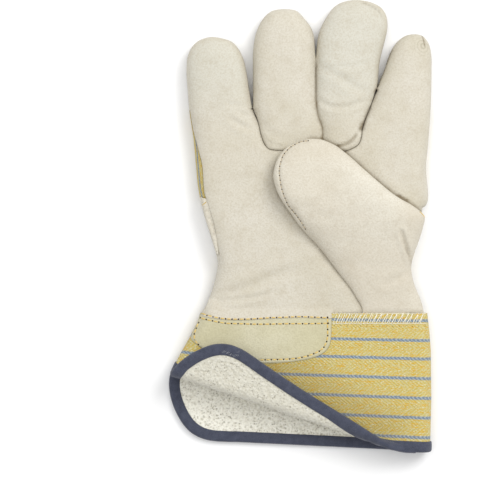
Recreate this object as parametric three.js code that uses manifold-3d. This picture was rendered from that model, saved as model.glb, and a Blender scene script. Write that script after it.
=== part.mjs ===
// A right-hand leather-palm work glove with a striped canvas back and a stiff safety cuff.
// It lies on its back with the palm up and the thumb folded over the palm.
// The corner of the slit cuff is turned back, so that the knitted lining shows.
// Units are millimetres: +X is the thumb side, +Y points to the finger tips, +Z is up.
import * as THREE from "three";
import { mergeVertices } from "three/addons/utils/BufferGeometryUtils.js";
import Module from "manifold-3d";

const wasm = await Module();
wasm.setup();

// Driving dimensions
const WALL = 2; // leather or canvas together with the lining behind it
const GAP = 0.3; // between pieces that touch
const SEAM_Z = 8; // height of the side seams above the table
const BACK_Z = 1.2; // underside of the canvas, held up by the strap and the finger caps
const PALM_Z = 17.5; // top of the palm and fingers
const FULL_HALF_WIDTH = 14; // a section narrower than this is also thinner
const SIDE_ROUND = 9; // width of the rounded edge below the side seam
const PUFF = 2.3; // exponent of the upper half of a section: 2 is an ellipse
const WRIST_Y = -56; // lower end of the hand, tucked into the cuff
const KNUCKLE_Y = 48.5; // where the fingers part
const CAP_LENGTH = 42; // leather on the back of each finger tip
const CAP_LAP = 6; // how far a cap lies over the canvas
const CAP_PROUD = 0.9;
const STRAP_PROUD = 1.2;
const STRAP_WIDTH = 33;
const STRAP_SLOPE = 0.07; // the strap rises towards the thumb side
const PLEATS = 9; // gathers of the back above the cuff
const ELASTIC_Y = -43; // the line where the back is gathered most
const GATHER_HALF_LENGTH = 16;
const GATHER_DEPTH = 2.4;
const FAR = 400; // larger than the glove

// Sections from the palm to the tip, each from its left edge to its right edge as the palm is seen
const FINGER_COLUMNS = ["leftX", "leftY", "rightX", "rightY"];
const FINGERS = {
  pinky: [
    [-56, 21, -18.5, 22],
    [-59, 40, -21, 41],
    [-61.5, 56, -27, 57.5],
    [-64, 73.5, -30, 74.5],
    [-65, 85.5, -31, 86],
    [-66, 95.5, -33, 96],
    [-64, 102.5, -36.5, 103],
    [-59.5, 107.5, -42, 107.5],
    [-54, 109.7, -48.5, 109.7],
  ],
  ring: [
    [-18.5, 21, 12.5, 21],
    [-20, 44.5, 11, 44.5],
    [-24, 59, 9.5, 59],
    [-26.5, 71, 8.6, 71],
    [-27, 88.5, 8.6, 88.5],
    [-27, 103, 8.6, 103],
    [-25.5, 113.5, 7, 113.5],
    [-21, 121.5, 2, 121.5],
    [-15, 125.7, -3, 125.7],
  ],
  middle: [
    [14, 21, 38.5, 21],
    [13.5, 44.5, 36.5, 47.5],
    [12.2, 61, 37.5, 63],
    [11.2, 73.5, 42, 75],
    [11.2, 88.5, 46, 89.5],
    [11.8, 102, 48.5, 103],
    [13, 113, 51, 114],
    [16, 122.5, 50, 122.5],
    [21, 128.5, 45, 128],
    [28, 131.8, 36.5, 131.8],
  ],
  index: [
    [40.5, 12.5, 72.5, 11],
    [38.5, 35.5, 74, 35.5],
    [38.8, 52.5, 75.5, 52],
    [41.5, 66, 76.5, 65.5],
    [45.2, 78, 77, 78],
    [49, 91.5, 77.2, 91.5],
    [52.5, 100.5, 77, 100.5],
    [56.5, 106.5, 75.5, 106.5],
    [63, 111, 71, 111],
  ],
};

// Sections of the palm from the knuckles to the wrist
const HAND_COLUMNS = ["y", "left", "right", "bottom", "top"];
const HAND = [
  [KNUCKLE_Y, -60, 75, BACK_Z, PALM_Z],
  [35.5, -59, 74, BACK_Z, PALM_Z],
  [21, -57.5, 73, BACK_Z, PALM_Z],
  [6.5, -54.5, 72, BACK_Z, PALM_Z],
  [-8, -51, 68.5, BACK_Z, PALM_Z],
  [-21, -48.5, 63.5, BACK_Z, 17],
  [-27, -48.7, 63.5, 1.4, 16.7],
  [-35, -50.3, 65.5, 1.7, 16.3],
  [-43, -53, 68.3, 2.1, 15.8],
  [-49.5, -54.8, 71, 2.4, 15.4],
  [WRIST_Y, -55.2, 71.6, 2.6, 15],
];

// Sections of the thumb from the wrist, where it is the right half of the palm, to its tip over the fingers' roots
const THUMB_COLUMNS = ["leftX", "leftY", "rightX", "rightY", "bottom", "top"];
const THUMB = [
  [37, WRIST_Y, 72.3, WRIST_Y, 3, 15.7],
  [36, -49, 72, -49, 3, 16],
  [29, -37.5, 67.8, -36.5, 4, 19],
  [19.5, -22, 65, -23.5, 5, 21.5],
  [10, -10.5, 70, -7, 7, 25],
  [1, -1, 71.8, 4.5, 10.5, 28.5],
  [-6, 7.5, 60.5, 14.5, 15, 31],
  [-11, 15, 47, 24, 18.1, 32.5],
  [-14.5, 23.5, 35, 33.5, 18.4, 33],
  [-15, 33, 25.5, 41.5, 18.7, 33],
  [-13, 40, 18.5, 46.5, 19.6, 32],
  [-7, 46.5, 12, 49.7, 21.5, 30],
];

// Outline of the middle and ring fingers' own front piece, along the seam at their roots and up between the fingers
const FRONT_SEAM = [
  [-28.5, 76],
  [-27.2, 66],
  [-24.7, 60],
  [-22, 54.5],
  [-20, 49],
  [-17, 44],
  [-9, 43.2],
  [24.5, 43.2],
  [31, 45],
  [35.5, 49],
  [37.6, 55.5],
  [39.6, 63.5],
  [43.5, 76],
  [47.6, 88],
  [56, 140],
  [-28.5, 140],
];

// The cuff is one sheet folded round the thumb side and slit at the little finger's side.
const CUFF_TOP_Y = -51;
const SLIT_Y = -74; // the slit runs from here to the hem
const SLIT_SPREAD = 12; // length over which its edges come apart
const TAPE_TOP_Y = -79.5;
const CUFF_BOTTOM_Z = 2.15;
const CUFF_TOP_Z = 16;
const CUFF_FOLD_R = (CUFF_TOP_Z - CUFF_BOTTOM_Z) / 2;
const CUFF_RIGHT_COLUMNS = ["y", "x"];
const CUFF_RIGHT = [
  [-51, 73.6],
  [-61, 74.8],
  [-73, 75.7],
  [-100, 76],
  [-131, 75.3],
];
// The left edge, down the side seam, past the slit and round the corner to the hem
const CUFF_LEFT_COLUMNS = ["y", "x"];
const CUFF_LEFT = [
  [-51, -57.4],
  [-57, -59.5],
  [-66.5, -64.4],
  [-74, -68.7],
  [-79.5, -71.7],
  [-83.5, -73.7],
  [-87.5, -75.2],
  [-91.5, -75.8],
  [-95.5, -75.7],
  [-99.5, -75.1],
  [-103.5, -74],
  [-107.5, -72.5],
  [-111.5, -70.5],
  [-115, -68.4],
  [-118.3, -65.8],
  [-121.2, -62.4],
  [-123.7, -57.7],
  [-125.3, -51],
  [-125.9, -41],
];
const CUFF_LENGTH = CUFF_TOP_Y - CUFF_LEFT.at(-1)[0];
const CLOSEST = 1.3; // least distance between two places along a row of the sheet
const HEM_DROP = 4; // the hem runs this much lower at the thumb side
const CANVAS = 0.9;
const LINING = 1.4;
const PLY_GAP = GAP / 2; // each ply keeps this distance from the sheet's reference surface
const TAPE = 0.8;
const TAPE_WIDTH = 5.2;
const SIDE_CLOSE = 7; // width over which the side seam's edge curls up
const LINING_BACK = 1.6; // the lining ends this far short of the sheet's side edges
// The palm-side corner rolls back over the cuff. The crease is the outline of the roll in plan.
const CREASE_START = new THREE.Vector2(-71.5, -88);
const ROLL_ALONG = new THREE.Vector2(113.5, -38).normalize();
const ROLL_OUT = new THREE.Vector2(ROLL_ALONG.y, -ROLL_ALONG.x);
const ROLL_R = 4.8;
const ROLL_END_R = 3.2; // the roll tightens towards the hem
const ROLL_LENGTH = 122;
const ROLL_ANGLE = THREE.MathUtils.degToRad(172);
const ROLL_TURNS = [1, 0.84, 0.68, 0.52, 0.36, 0.2, 0.08, 0]; // places round the roll, from its end to its start

// Outline of the leather patch over the pulse, from its upper edge to its round lower edge
const PATCH_COLUMNS = ["y", "left", "right"];
const PATCH = [
  [-52, -57, 18.5],
  [-60, -59.8, 18.5],
  [-66.5, -60.5, 18.5],
  [-71, -58.8, 17.4],
  [-75, -54, 13],
  [-78, -46, 4],
  [-79.5, -36, -8],
];
const PATCH_THICK = 1;

const LEATHER = 0xe0d9c6;
const CANVAS_YELLOW = 0xd8c37a;
const NAVY = 0x3b4152;
const KNIT = 0xe4e2d6;
const PATCH_GREEN = 0xd6d1b2;

const table = (columns, rows) => rows.map((row) => Object.fromEntries(columns.map((name, i) => [name, row[i]])));

// The value of column "x" at a height y, along straight lines between a table's rows.
function edgeAt(rows, y) {
  const next = Math.max(1, rows.findIndex((row) => row.y <= y));
  const low = rows[y < rows.at(-1).y ? rows.length - 1 : next];
  const high = rows[(y < rows.at(-1).y ? rows.length - 1 : next) - 1];
  const share = THREE.MathUtils.clamp((y - high.y) / (low.y - high.y), 0, 1);
  return THREE.MathUtils.lerp(high.x, low.x, share);
}

function solidOf(geometry) {
  const bare = new THREE.BufferGeometry().setAttribute("position", geometry.getAttribute("position"));
  if (geometry.index) bare.setIndex(geometry.index);
  const merged = mergeVertices(bare, 1e-3);
  const make = (triVerts) =>
    new wasm.Manifold(new wasm.Mesh({ numProp: 3, vertProperties: merged.attributes.position.array, triVerts }));
  const faces = new Uint32Array(merged.index.array);
  const solid = make(faces);
  if (solid.volume() > 0) return solid;
  for (let i = 0; i < faces.length; i += 3) [faces[i + 1], faces[i + 2]] = [faces[i + 2], faces[i + 1]];
  return make(faces);
}

const geometryOf = (points, faces) =>
  new THREE.BufferGeometry()
    .setAttribute("position", new THREE.Float32BufferAttribute(points.flatMap((p) => p.toArray()), 3))
    .setIndex(faces);

function meshGeometry(solid) {
  const mesh = solid.getMesh();
  return new THREE.BufferGeometry()
    .setAttribute("position", new THREE.BufferAttribute(mesh.vertProperties, 3))
    .setIndex(new THREE.BufferAttribute(mesh.triVerts, 1));
}

// The largest body of a solid, at the precision of its mesh: the cuts below can leave crumbs beside it.
const mainBody = (solid) => solidOf(meshGeometry(solid)).decompose().sort((a, b) => b.volume() - a.volume())[0];

// A solid through rings of equal length. It is closed by a fan at each end, or end to end if it is a loop.
function loft(rings) {
  const count = rings[0].length;
  const faces = [];
  for (let r = 0; r + 1 < rings.length; r++)
    for (let i = 0; i < count; i++) {
      const a = r * count + i;
      const b = r * count + ((i + 1) % count);
      faces.push(a, b, b + count, a, b + count, a + count);
    }
  const points = rings.flat();
  for (const r of [0, rings.length - 1]) {
    const hub = rings[r].reduce((sum, p) => sum.add(p), new THREE.Vector3()).divideScalar(count);
    for (let i = 0; i < count; i++) {
      const edge = [r * count + i, r * count + ((i + 1) % count)];
      if (r === 0) edge.reverse();
      faces.push(...edge, points.length);
    }
    points.push(hub);
  }
  return solidOf(geometryOf(points, faces));
}

// A prism over an outline in plan, between two heights.
function prism(outline, low = -FAR, high = FAR) {
  const shape = new THREE.Shape(outline.map(([x, y]) => new THREE.Vector2(x, y)));
  return solidOf(new THREE.ExtrudeGeometry(shape, { depth: high - low, bevelEnabled: false }).translate(0, 0, low));
}

const slab = (lowZ, highZ) => prism([[-FAR, -FAR], [FAR, -FAR], [FAR, FAR], [-FAR, FAR]], lowZ, highZ);
const above = (y) => prism([[-FAR, y], [FAR, y], [FAR, FAR], [-FAR, FAR]]);
const union = (solids) => solids.reduce((sum, solid) => sum.add(solid));

// One section of a finger, the palm or the thumb: puffed above the seam, flat with round edges below it.
function section(row, grow, steps, lift = () => 0) {
  const left = new THREE.Vector2(row.leftX, row.leftY);
  const right = new THREE.Vector2(row.rightX, row.rightY);
  const centre = left.clone().add(right).divideScalar(2);
  const across = right.clone().sub(left).normalize();
  const half = right.distanceTo(left) / 2 + grow;
  const top = row.top + grow - row.seam;
  const bottom = row.seam - row.bottom + grow;
  const side = Math.min(SIDE_ROUND, half * 0.6);
  const flat = half - side;
  const points = [];
  const put = (x, z) => points.push(new THREE.Vector3(centre.x + across.x * x, centre.y + across.y * x, z));
  const power = (value) => Math.sign(value) * Math.abs(value) ** (2 / PUFF);
  for (let i = 0; i < steps.top; i++) {
    const turn = (Math.PI * i) / steps.top;
    put(half * power(Math.cos(turn)), row.seam + top * power(Math.sin(turn)));
  }
  for (let i = 0; i < steps.side; i++) {
    const turn = (Math.PI * i) / (2 * steps.side);
    put(-flat - side * Math.cos(turn), row.seam - bottom * Math.sin(turn));
  }
  for (let i = 0; i < steps.flat; i++) {
    const share = i / steps.flat;
    put(THREE.MathUtils.lerp(-flat, flat, share), row.seam - bottom + lift(share, row));
  }
  for (let i = 0; i < steps.side; i++) {
    const turn = (Math.PI * (steps.side - i)) / (2 * steps.side);
    put(flat + side * Math.cos(turn), row.seam - bottom * Math.sin(turn));
  }
  return points;
}

// A finger's section is thinner where it is narrow, so that the tip is round.
function fingerRows(name) {
  return table(FINGER_COLUMNS, FINGERS[name]).map((row) => {
    const half = Math.hypot(row.rightX - row.leftX, row.rightY - row.leftY) / 2;
    const share = Math.sqrt(1 - (1 - Math.min(half / FULL_HALF_WIDTH, 1)) ** 2);
    return { ...row, seam: SEAM_Z, top: SEAM_Z + (PALM_Z - SEAM_Z) * share, bottom: SEAM_Z - (SEAM_Z - BACK_Z) * share };
  });
}

const FINGER_STEPS = { top: 8, side: 2, flat: 3 };

function finger(name, grow) {
  const rows = fingerRows(name);
  if (grow < 0) rows.pop(); // the hollow ends before the tip
  return loft(rows.map((row) => section(row, grow, FINGER_STEPS)));
}

// The gathers: folds across the back that are deepest at the elastic.
function gather(share, row) {
  const near = Math.max(0, 1 - Math.abs(row.leftY - ELASTIC_Y) / GATHER_HALF_LENGTH);
  return (GATHER_DEPTH * near * (1 - Math.cos(2 * Math.PI * PLEATS * share))) / 2;
}

const HAND_STEPS = { top: 10, side: 3, flat: 2 * PLEATS };

function hand(grow) {
  const rows = table(HAND_COLUMNS, HAND).map((row) => ({
    ...row, leftX: row.left, leftY: row.y, rightX: row.right, rightY: row.y, seam: SEAM_Z,
  }));
  if (grow < 0) {
    rows[0].leftY = rows[0].rightY = KNUCKLE_Y + grow;
    rows.push({ ...rows.at(-1), leftY: WRIST_Y - WALL, rightY: WRIST_Y - WALL }); // the hollow is open at the wrist
  }
  return loft(rows.map((row) => section(row, grow, HAND_STEPS, gather)));
}

const THUMB_STEPS = { top: 9, side: 3, flat: 2 };

function thumbRows() {
  return table(THUMB_COLUMNS, THUMB).map((row) => ({ ...row, seam: (row.bottom + row.top) / 2 }));
}

function thumb(grow) {
  const rows = thumbRows();
  if (grow < 0) {
    rows.pop();
    rows.unshift({ ...rows[0], leftY: WRIST_Y - WALL, rightY: WRIST_Y - WALL });
  }
  return loft(rows.map((row) => section(row, grow, THUMB_STEPS)));
}

// The lower half of the thumb, which parts its back from its front along the seam.
function belowThumbSeam() {
  const rows = thumbRows().map((row) => ({ ...row, bottom: row.bottom - 2, top: row.seam + 0.01 }));
  rows.push({ ...rows.at(-1), leftY: rows.at(-1).leftY + 3, rightY: rows.at(-1).rightY + 3 });
  return loft(rows.map((row) => section(row, GAP, THUMB_STEPS)));
}

// 1 along the side seam, 0 where the slit is fully open
const closedAt = (y) => THREE.MathUtils.smoothstep(y, SLIT_Y - SLIT_SPREAD, SLIT_Y);

// A point of the cuff's reference surface.
// s runs along the folded sheet: 0 is the middle of the fold, positive on the palm side, negative on the back.
function cuffPoint(s, y) {
  const arc = (Math.PI * CUFF_FOLD_R) / 2;
  const right = edgeAt(table(CUFF_RIGHT_COLUMNS, CUFF_RIGHT), y) - CUFF_FOLD_R;
  const middleZ = CUFF_BOTTOM_Z + CUFF_FOLD_R;
  if (Math.abs(s) <= arc) {
    const turn = s / CUFF_FOLD_R;
    return new THREE.Vector3(right + CUFF_FOLD_R * Math.cos(turn), y, middleZ + CUFF_FOLD_R * Math.sin(turn));
  }
  const x = right - (Math.abs(s) - arc);
  const left = edgeAt(table(CUFF_LEFT_COLUMNS, CUFF_LEFT), y);
  const curl = 1 - Math.min(1, Math.max(0, x - left) / SIDE_CLOSE);
  const rise = closedAt(y) * (CUFF_FOLD_R - GAP) * curl * curl;
  if (s < 0) return new THREE.Vector3(x, y, CUFF_BOTTOM_Z + rise);
  return rollBack(new THREE.Vector3(x, y, CUFF_TOP_Z - rise));
}

// How far past the roll's start a place in plan lies, and the radius of the roll there.
function rollAt(plan) {
  const fromCrease = plan.clone().sub(CREASE_START);
  const along = fromCrease.dot(ROLL_ALONG);
  const tight = THREE.MathUtils.smoothstep(along, ROLL_LENGTH / 2, ROLL_LENGTH);
  const radius = THREE.MathUtils.lerp(ROLL_R, ROLL_END_R, tight);
  return { past: fromCrease.dot(ROLL_OUT) + radius + PLY_GAP + LINING, radius };
}

// Wraps what lies past the roll's start round a cylinder above the sheet, and lays the rest back over it.
function rollBack(point) {
  const plan = new THREE.Vector2(point.x, point.y);
  const { past, radius } = rollAt(plan);
  if (past <= 0) return point;
  const turn = Math.min(past / radius, ROLL_ANGLE);
  const rest = past - turn * radius;
  const out = radius * Math.sin(turn) + rest * Math.cos(turn);
  const up = radius * (1 - Math.cos(turn)) + rest * Math.sin(turn);
  plan.addScaledVector(ROLL_OUT, out - past);
  return new THREE.Vector3(plan.x, plan.y, point.z + up);
}

// The direction away from the glove's hollow, square to the cuff's surface.
function cuffNormal(s, y) {
  const step = 0.15;
  const along = cuffPoint(s + step, y).sub(cuffPoint(s - step, y));
  const down = cuffPoint(s, y - step).sub(cuffPoint(s, y + step));
  return along.cross(down).normalize();
}

const cuffOffset = (s, y, out) => cuffPoint(s, y).addScaledVector(cuffNormal(s, y), out);

// The place along the sheet of a point with a given x on the palm side; the back has the same place with a minus.
function cuffPlace(x, y) {
  const right = edgeAt(table(CUFF_RIGHT_COLUMNS, CUFF_RIGHT), y) - CUFF_FOLD_R;
  return (Math.PI * CUFF_FOLD_R) / 2 + (right - x);
}

// A closed ply between two distances from the reference surface, over a grid of places on the sheet.
function ply(grid, inner, outer) {
  const columns = grid[0].length;
  const points = [outer, inner].flatMap((out) => grid.flat().map(([s, y]) => cuffOffset(s, y, out)));
  const under = grid.length * columns;
  const faces = [];
  const quad = (a, b, c, d) => faces.push(a, b, c, a, c, d);
  for (let r = 0; r + 1 < grid.length; r++)
    for (let c = 0; c + 1 < columns; c++) {
      const a = r * columns + c;
      quad(a, a + columns, a + columns + 1, a + 1);
      quad(a + under, a + under + 1, a + under + columns + 1, a + under + columns);
    }
  const last = (grid.length - 1) * columns;
  for (let c = 0; c + 1 < columns; c++) {
    quad(c, c + 1, c + 1 + under, c + under);
    quad(last + c + 1, last + c, last + c + under, last + c + 1 + under);
  }
  for (let r = 0; r + 1 < grid.length; r++) {
    const a = r * columns;
    const b = a + columns - 1;
    quad(a + columns, a, a + under, a + columns + under);
    quad(b, b + columns, b + columns + under, b + under);
  }
  return solidOf(geometryOf(points, faces));
}

// Places across one row of the cuff: closer together at the curled edges, in the fold and in the roll.
function cuffRow(row) {
  const full = cuffPlace(row.x, row.y);
  const arc = (Math.PI * CUFF_FOLD_R) / 2;
  const flat = full - arc;
  const { past } = rollAt(new THREE.Vector2(row.x, row.y));
  const roll = ROLL_TURNS.map((turn) => (past - turn * ROLL_ANGLE * ROLL_R) / -ROLL_OUT.x);
  const palm = [0, LINING_BACK, TAPE_WIDTH, (TAPE_WIDTH + roll[0]) / 2, ...roll, (roll.at(-1) + flat) / 2, flat];
  for (let i = 1; i < palm.length; i++) palm[i] = Math.max(palm[i], palm[i - 1] + CLOSEST);
  for (let i = palm.length - 2; i > 2; i--) palm[i] = Math.min(palm[i], palm[i + 1] - CLOSEST);
  const back = [0, LINING_BACK, TAPE_WIDTH, SIDE_CLOSE, 0.4 * flat, flat];
  const fold = [-0.6, -0.2, 0.2, 0.6].map((share) => share * arc);
  return [...back.map((d) => d - full), ...fold, ...palm.map((d) => full - d).reverse()].map((s) => [s, row.y]);
}

// Lowers a row's places towards the thumb side, so that the hem slopes.
function slopeHem(places) {
  return places.map(([s, y]) => {
    const x = edgeAt(table(CUFF_RIGHT_COLUMNS, CUFF_RIGHT), y) - Math.abs(s);
    const drop = HEM_DROP * THREE.MathUtils.clamp((x + 41) / 110, 0, 1);
    return [s, y - (drop * (CUFF_TOP_Y - y)) / CUFF_LENGTH];
  });
}

const CUFF_ROWS = table(CUFF_LEFT_COLUMNS, CUFF_LEFT);

const cuffGrid = (topY, rows = CUFF_ROWS) => rows.filter((row) => row.y <= topY).map((row) => slopeHem(cuffRow(row)));

// The edge of a grid from the back's side down, along the hem and up the palm's side, with the way out at each place.
function rim(grid) {
  const last = grid.length - 1;
  const side = grid[0].length - 1;
  const spots = [
    ...grid.slice(0, last).map((_, r) => [r, 0]),
    ...grid[last].map((_, c) => [last, c]),
    ...grid.slice(0, last).map((_, r) => [last - 1 - r, side]),
  ];
  const places = spots.map(([r, c]) => grid[r][c]);
  return spots.map(([r, c], i) => {
    const before = places[Math.max(0, i - 1)];
    const after = places[Math.min(places.length - 1, i + 1)];
    return { r, c, out: new THREE.Vector2(after[1] - before[1], before[0] - after[0]).normalize() };
  });
}

// A ply of the slit part of the cuff that reaches past the sheet's edge.
function grownPly(margin, low, high) {
  const grid = cuffGrid(TAPE_TOP_Y);
  for (const { r, c, out } of rim(cuffGrid(TAPE_TOP_Y)))
    grid[r][c] = [grid[r][c][0] + out.x * margin, grid[r][c][1] + out.y * margin];
  return ply(grid, low, high);
}

// The sheet's left edge, moved in by the width of the tape
function insetRows() {
  return CUFF_ROWS.map((row, i) => {
    const before = CUFF_ROWS[Math.max(0, i - 1)];
    const after = CUFF_ROWS[Math.min(CUFF_ROWS.length - 1, i + 1)];
    const along = new THREE.Vector2(after.x - before.x, after.y - before.y).normalize();
    return { x: row.x - along.y * TAPE_WIDTH, y: row.y + along.x * TAPE_WIDTH };
  });
}

// The tape is a channel folded over the edge of both plies, all round the slit part of the cuff.
function bindingTape(plies) {
  const high = PLY_GAP + CANVAS + GAP;
  const low = -(PLY_GAP + LINING + GAP);
  const cloth = [grownPly(GAP, low, high), grownPly(0, low, high)];
  const inside = ply(cuffGrid(CUFF_TOP_Y, insetRows()), low - TAPE - GAP, high + TAPE + GAP);
  const block = grownPly(GAP + TAPE, low - TAPE, high + TAPE);
  return mainBody(block.subtract(union([...cloth, ...plies, inside, above(TAPE_TOP_Y - 1.2)])));
}

function pulsePatch() {
  const base = PLY_GAP + CANVAS + GAP;
  const grid = table(PATCH_COLUMNS, PATCH).map((row) =>
    [0, 0.04, 0.1, 0.3, 0.55, 0.8, 1].map((share) => {
      const x = THREE.MathUtils.lerp(row.left, row.right, share);
      return [cuffPlace(x, row.y), row.y];
    }).reverse(),
  );
  return ply(grid, base, base + PATCH_THICK).subtract(ply(cuffGrid(CUFF_TOP_Y), 0, base));
}

// The strap's band in plan
function strapBand() {
  const low = -20;
  const rise = STRAP_SLOPE * FAR;
  return prism([
    [-FAR, low - rise],
    [FAR, low + rise],
    [FAR, low + rise + STRAP_WIDTH],
    [-FAR, low - rise + STRAP_WIDTH],
  ]);
}

// Fuse the hand, then cut it into the pieces that are sewn together.
const names = Object.keys(FINGERS);
const upper = slab(SEAM_Z + GAP / 2, FAR);
const lower = slab(-FAR, SEAM_Z - GAP / 2);
const hollow = union([hand(-WALL), ...names.map((name) => finger(name, -WALL))]);
const handShell = union([hand(0), ...names.map((name) => finger(name, 0))]).subtract(hollow);
const frontPiece = prism(FRONT_SEAM);
const seamSlit = prism(FRONT_SEAM.map(([x, y], i) => [x, i < FRONT_SEAM.length - 2 ? y - GAP * 1.4 : y]));
const thumbShell = thumb(0).subtract(thumb(-WALL)).subtract(hollow).intersect(upper);
const handTop = handShell.subtract(thumb(GAP)).intersect(upper);
const capTop = (name) => Math.max(...FINGERS[name].map((row) => row[1])) - CAP_LENGTH;
const capRoom = union(names.map((name) => finger(name, 2 * CAP_PROUD).intersect(above(capTop(name) - GAP))));

const liningGrid = cuffGrid(WRIST_Y - GAP).map((row) => row.slice(1, -1));
const cuffCanvas = ply(cuffGrid(CUFF_TOP_Y), PLY_GAP, PLY_GAP + CANVAS);
const cuffLining = ply(liningGrid, -(PLY_GAP + LINING), -PLY_GAP);

function tipCap(name) {
  const edge = capTop(name);
  const outer = finger(name, CAP_PROUD).intersect(lower);
  const tip = outer.subtract(finger(name, -WALL)).intersect(above(edge));
  const lap = outer.subtract(finger(name, GAP)).intersect(above(edge - CAP_LAP));
  return mainBody(tip.add(lap));
}

const SOLIDS = {
  palm_leather: [mainBody(handTop.subtract(seamSlit)), LEATHER],
  middle_fingers_front: [mainBody(handTop.intersect(frontPiece)), LEATHER],
  thumb_front: [mainBody(thumbShell.subtract(belowThumbSeam())), LEATHER],
  thumb_back: [mainBody(thumbShell.intersect(belowThumbSeam())), LEATHER],
  back_canvas: [mainBody(handShell.intersect(lower).subtract(capRoom)), CANVAS_YELLOW],
  knuckle_strap: [
    mainBody(hand(STRAP_PROUD).subtract(hand(GAP)).intersect(lower).intersect(strapBand())),
    LEATHER,
  ],
  cuff_canvas: [cuffCanvas, CANVAS_YELLOW],
  cuff_lining: [cuffLining, KNIT],
  cuff_binding: [bindingTape([cuffCanvas, cuffLining]), NAVY],
  vein_patch: [pulsePatch(), PATCH_GREEN],
};
for (const name of names) SOLIDS[`${name}_tip_cap`] = [tipCap(name), LEATHER];

const glove = new THREE.Group();
for (const [name, [solid, color]] of Object.entries(SOLIDS)) {
  const geometry = meshGeometry(solid);
  geometry.computeVertexNormals();
  const material = new THREE.MeshStandardMaterial({ color, roughness: 0.85, metalness: 0 });
  const piece = new THREE.Mesh(geometry, material);
  piece.name = name;
  glove.add(piece);
}

export default glove;
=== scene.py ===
# A right-hand leather work glove with a striped canvas back, lying palm up on a pale table.
# The thumb is folded over the palm, and the corner of the slit cuff is turned back to show the knit lining.
# Sizes are in millimetres until a mesh is made.
# +X is the thumb side, +Y points to the finger tips, +Z is up.
import math

import bpy
import numpy as np
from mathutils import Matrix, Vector, noise
from mathutils.bvhtree import BVHTree
from mathutils.geometry import delaunay_2d_cdt


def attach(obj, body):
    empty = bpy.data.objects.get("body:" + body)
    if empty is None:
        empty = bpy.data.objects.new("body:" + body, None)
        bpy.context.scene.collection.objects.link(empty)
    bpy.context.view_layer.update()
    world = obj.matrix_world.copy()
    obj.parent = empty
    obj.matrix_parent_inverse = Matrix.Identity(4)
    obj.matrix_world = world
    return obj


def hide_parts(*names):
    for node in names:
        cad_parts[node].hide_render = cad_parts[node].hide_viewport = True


MM = 0.001
BODY = "root"
UP = (0, 0, 1)

# The hand: level of its side seam, its wrist end, and how far in from an edge it has puffed up
SEAM_Z = 8.0
WRIST_Y = -56.0
SPAN = 5.6
THUMB_SPAN = 5.6
BACK_SPAN = 4.5
BACK_CONTACT = 0.85  # share of its height that the back has reached where two fingers touch

# Thickness of the leathers and cloths
LEATHER = 1.1
THUMB_LEATHER = 1.3
STRAP_LEATHER = 0.9
PATCH_LEATHER = 0.85
BACK_CLOTH = 0.6
SIDE_CLOTH = 0.8

# Meshing
EDGE_STEP = 1.1
GRID_STEP = 1.25
RING_STEPS = (0.18, 0.5, 1.0)  # rows of points just inside an edge, where the surface is steep
LINE_STEPS = (-0.45, 0.45)  # rows of points beside a seam
CLEAR = 0.8  # least distance of a free point to an edge, in grid steps
KEEP_OFF = 0.9  # the same for a row beside a line, in shares of its distance to the line

# Sections of the fingers from the palm to the tip: x and y of the left edge, then of the right edge
FINGERS = {
    "pinky": [
        (-56, 21, -14, 22),
        (-60, 36, -14, 40),
        (-62.6, 53, -20.5, 57),
        (-64.8, 67.5, -27.2, 67.6),
        (-65.8, 79.6, -29.2, 76.6),
        (-66.5, 91.5, -31, 88.3),
        (-65.2, 101, -33.6, 98.9),
        (-60.5, 107, -39.5, 106.8),
        (-54, 109.7, -48.5, 109.7),
    ],
    "ring": [
        (-18.5, 21, 12.5, 21),
        (-25, 47.4, 14.5, 48),
        (-28.2, 60.8, 13.6, 60),
        (-27.6, 70, 11.2, 75),
        (-27.5, 88.5, 10.1, 90),
        (-27.4, 103, 9.1, 101),
        (-25.5, 113.5, 7.6, 113.5),
        (-21, 121.5, 2, 121.5),
        (-15, 125.7, -3, 125.7),
    ],
    "middle": [
        (10, 21, 38.5, 21),
        (9.5, 48, 38.5, 47.4),
        (7.6, 60, 41, 59),
        (7.9, 75, 44.2, 72),
        (8.4, 90, 45.6, 83),
        (9.6, 102, 47, 97.1),
        (11.2, 113, 51.2, 115),
        (16, 122.5, 50.6, 123),
        (21, 128.3, 46, 128.3),
        (28, 131.2, 37, 131.4),
    ],
    "index": [
        (28, 12.5, 72.5, 11),
        (29, 47.4, 74, 35.5),
        (34, 60, 75.5, 52),
        (40, 72, 76.5, 65.5),
        (44.8, 80.5, 77, 78),
        (49.1, 90.1, 77.2, 91.5),
        (52.7, 100.5, 77, 100.5),
        (56.7, 106.7, 75.5, 106.5),
        (63, 111, 71, 111),
    ],
}
# Sections across the hand from the fingers to the wrist
HAND_COLUMNS = ("y", "left", "right", "bottom", "top")
HAND = [
    (52, -62.4, 75, 1.2, 17.5),
    (35.5, -60.9, 74, 1.2, 17.5),
    (21, -59.4, 72.6, 1.2, 17.5),
    (6.5, -56.1, 71.3, 1.2, 17.5),
    (-8, -51.6, 68.5, 1.2, 17.5),
    (-21, -48.2, 63.5, 1.2, 17),
    (-27, -48.8, 63.5, 1.4, 16.7),
    (-35, -50.6, 65.5, 1.7, 16.4),
    (-43, -53.5, 68.3, 2.1, 16.2),
    (-49.5, -55.8, 71, 2.4, 16),
    (-52.5, -56.2, 71.4, 2.5, 15.2),
    (WRIST_Y, -56.2, 71.6, 2.6, 14.8),
]
# Line along which the ring and middle fingers touch
RING_MIDDLE = [(9.4, 101), (9.35, 95), (9.3, 84), (9.4, 73.7), (10.5, 64.9), (13.2, 56.5), (12.9, 49.7)]
# Ends of the stretches of the root seam where the fingers on its two sides are parted
PINKY_RING_END = (-20.5, 47.4)
MIDDLE_INDEX_END = (36.3, 56.2)
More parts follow.
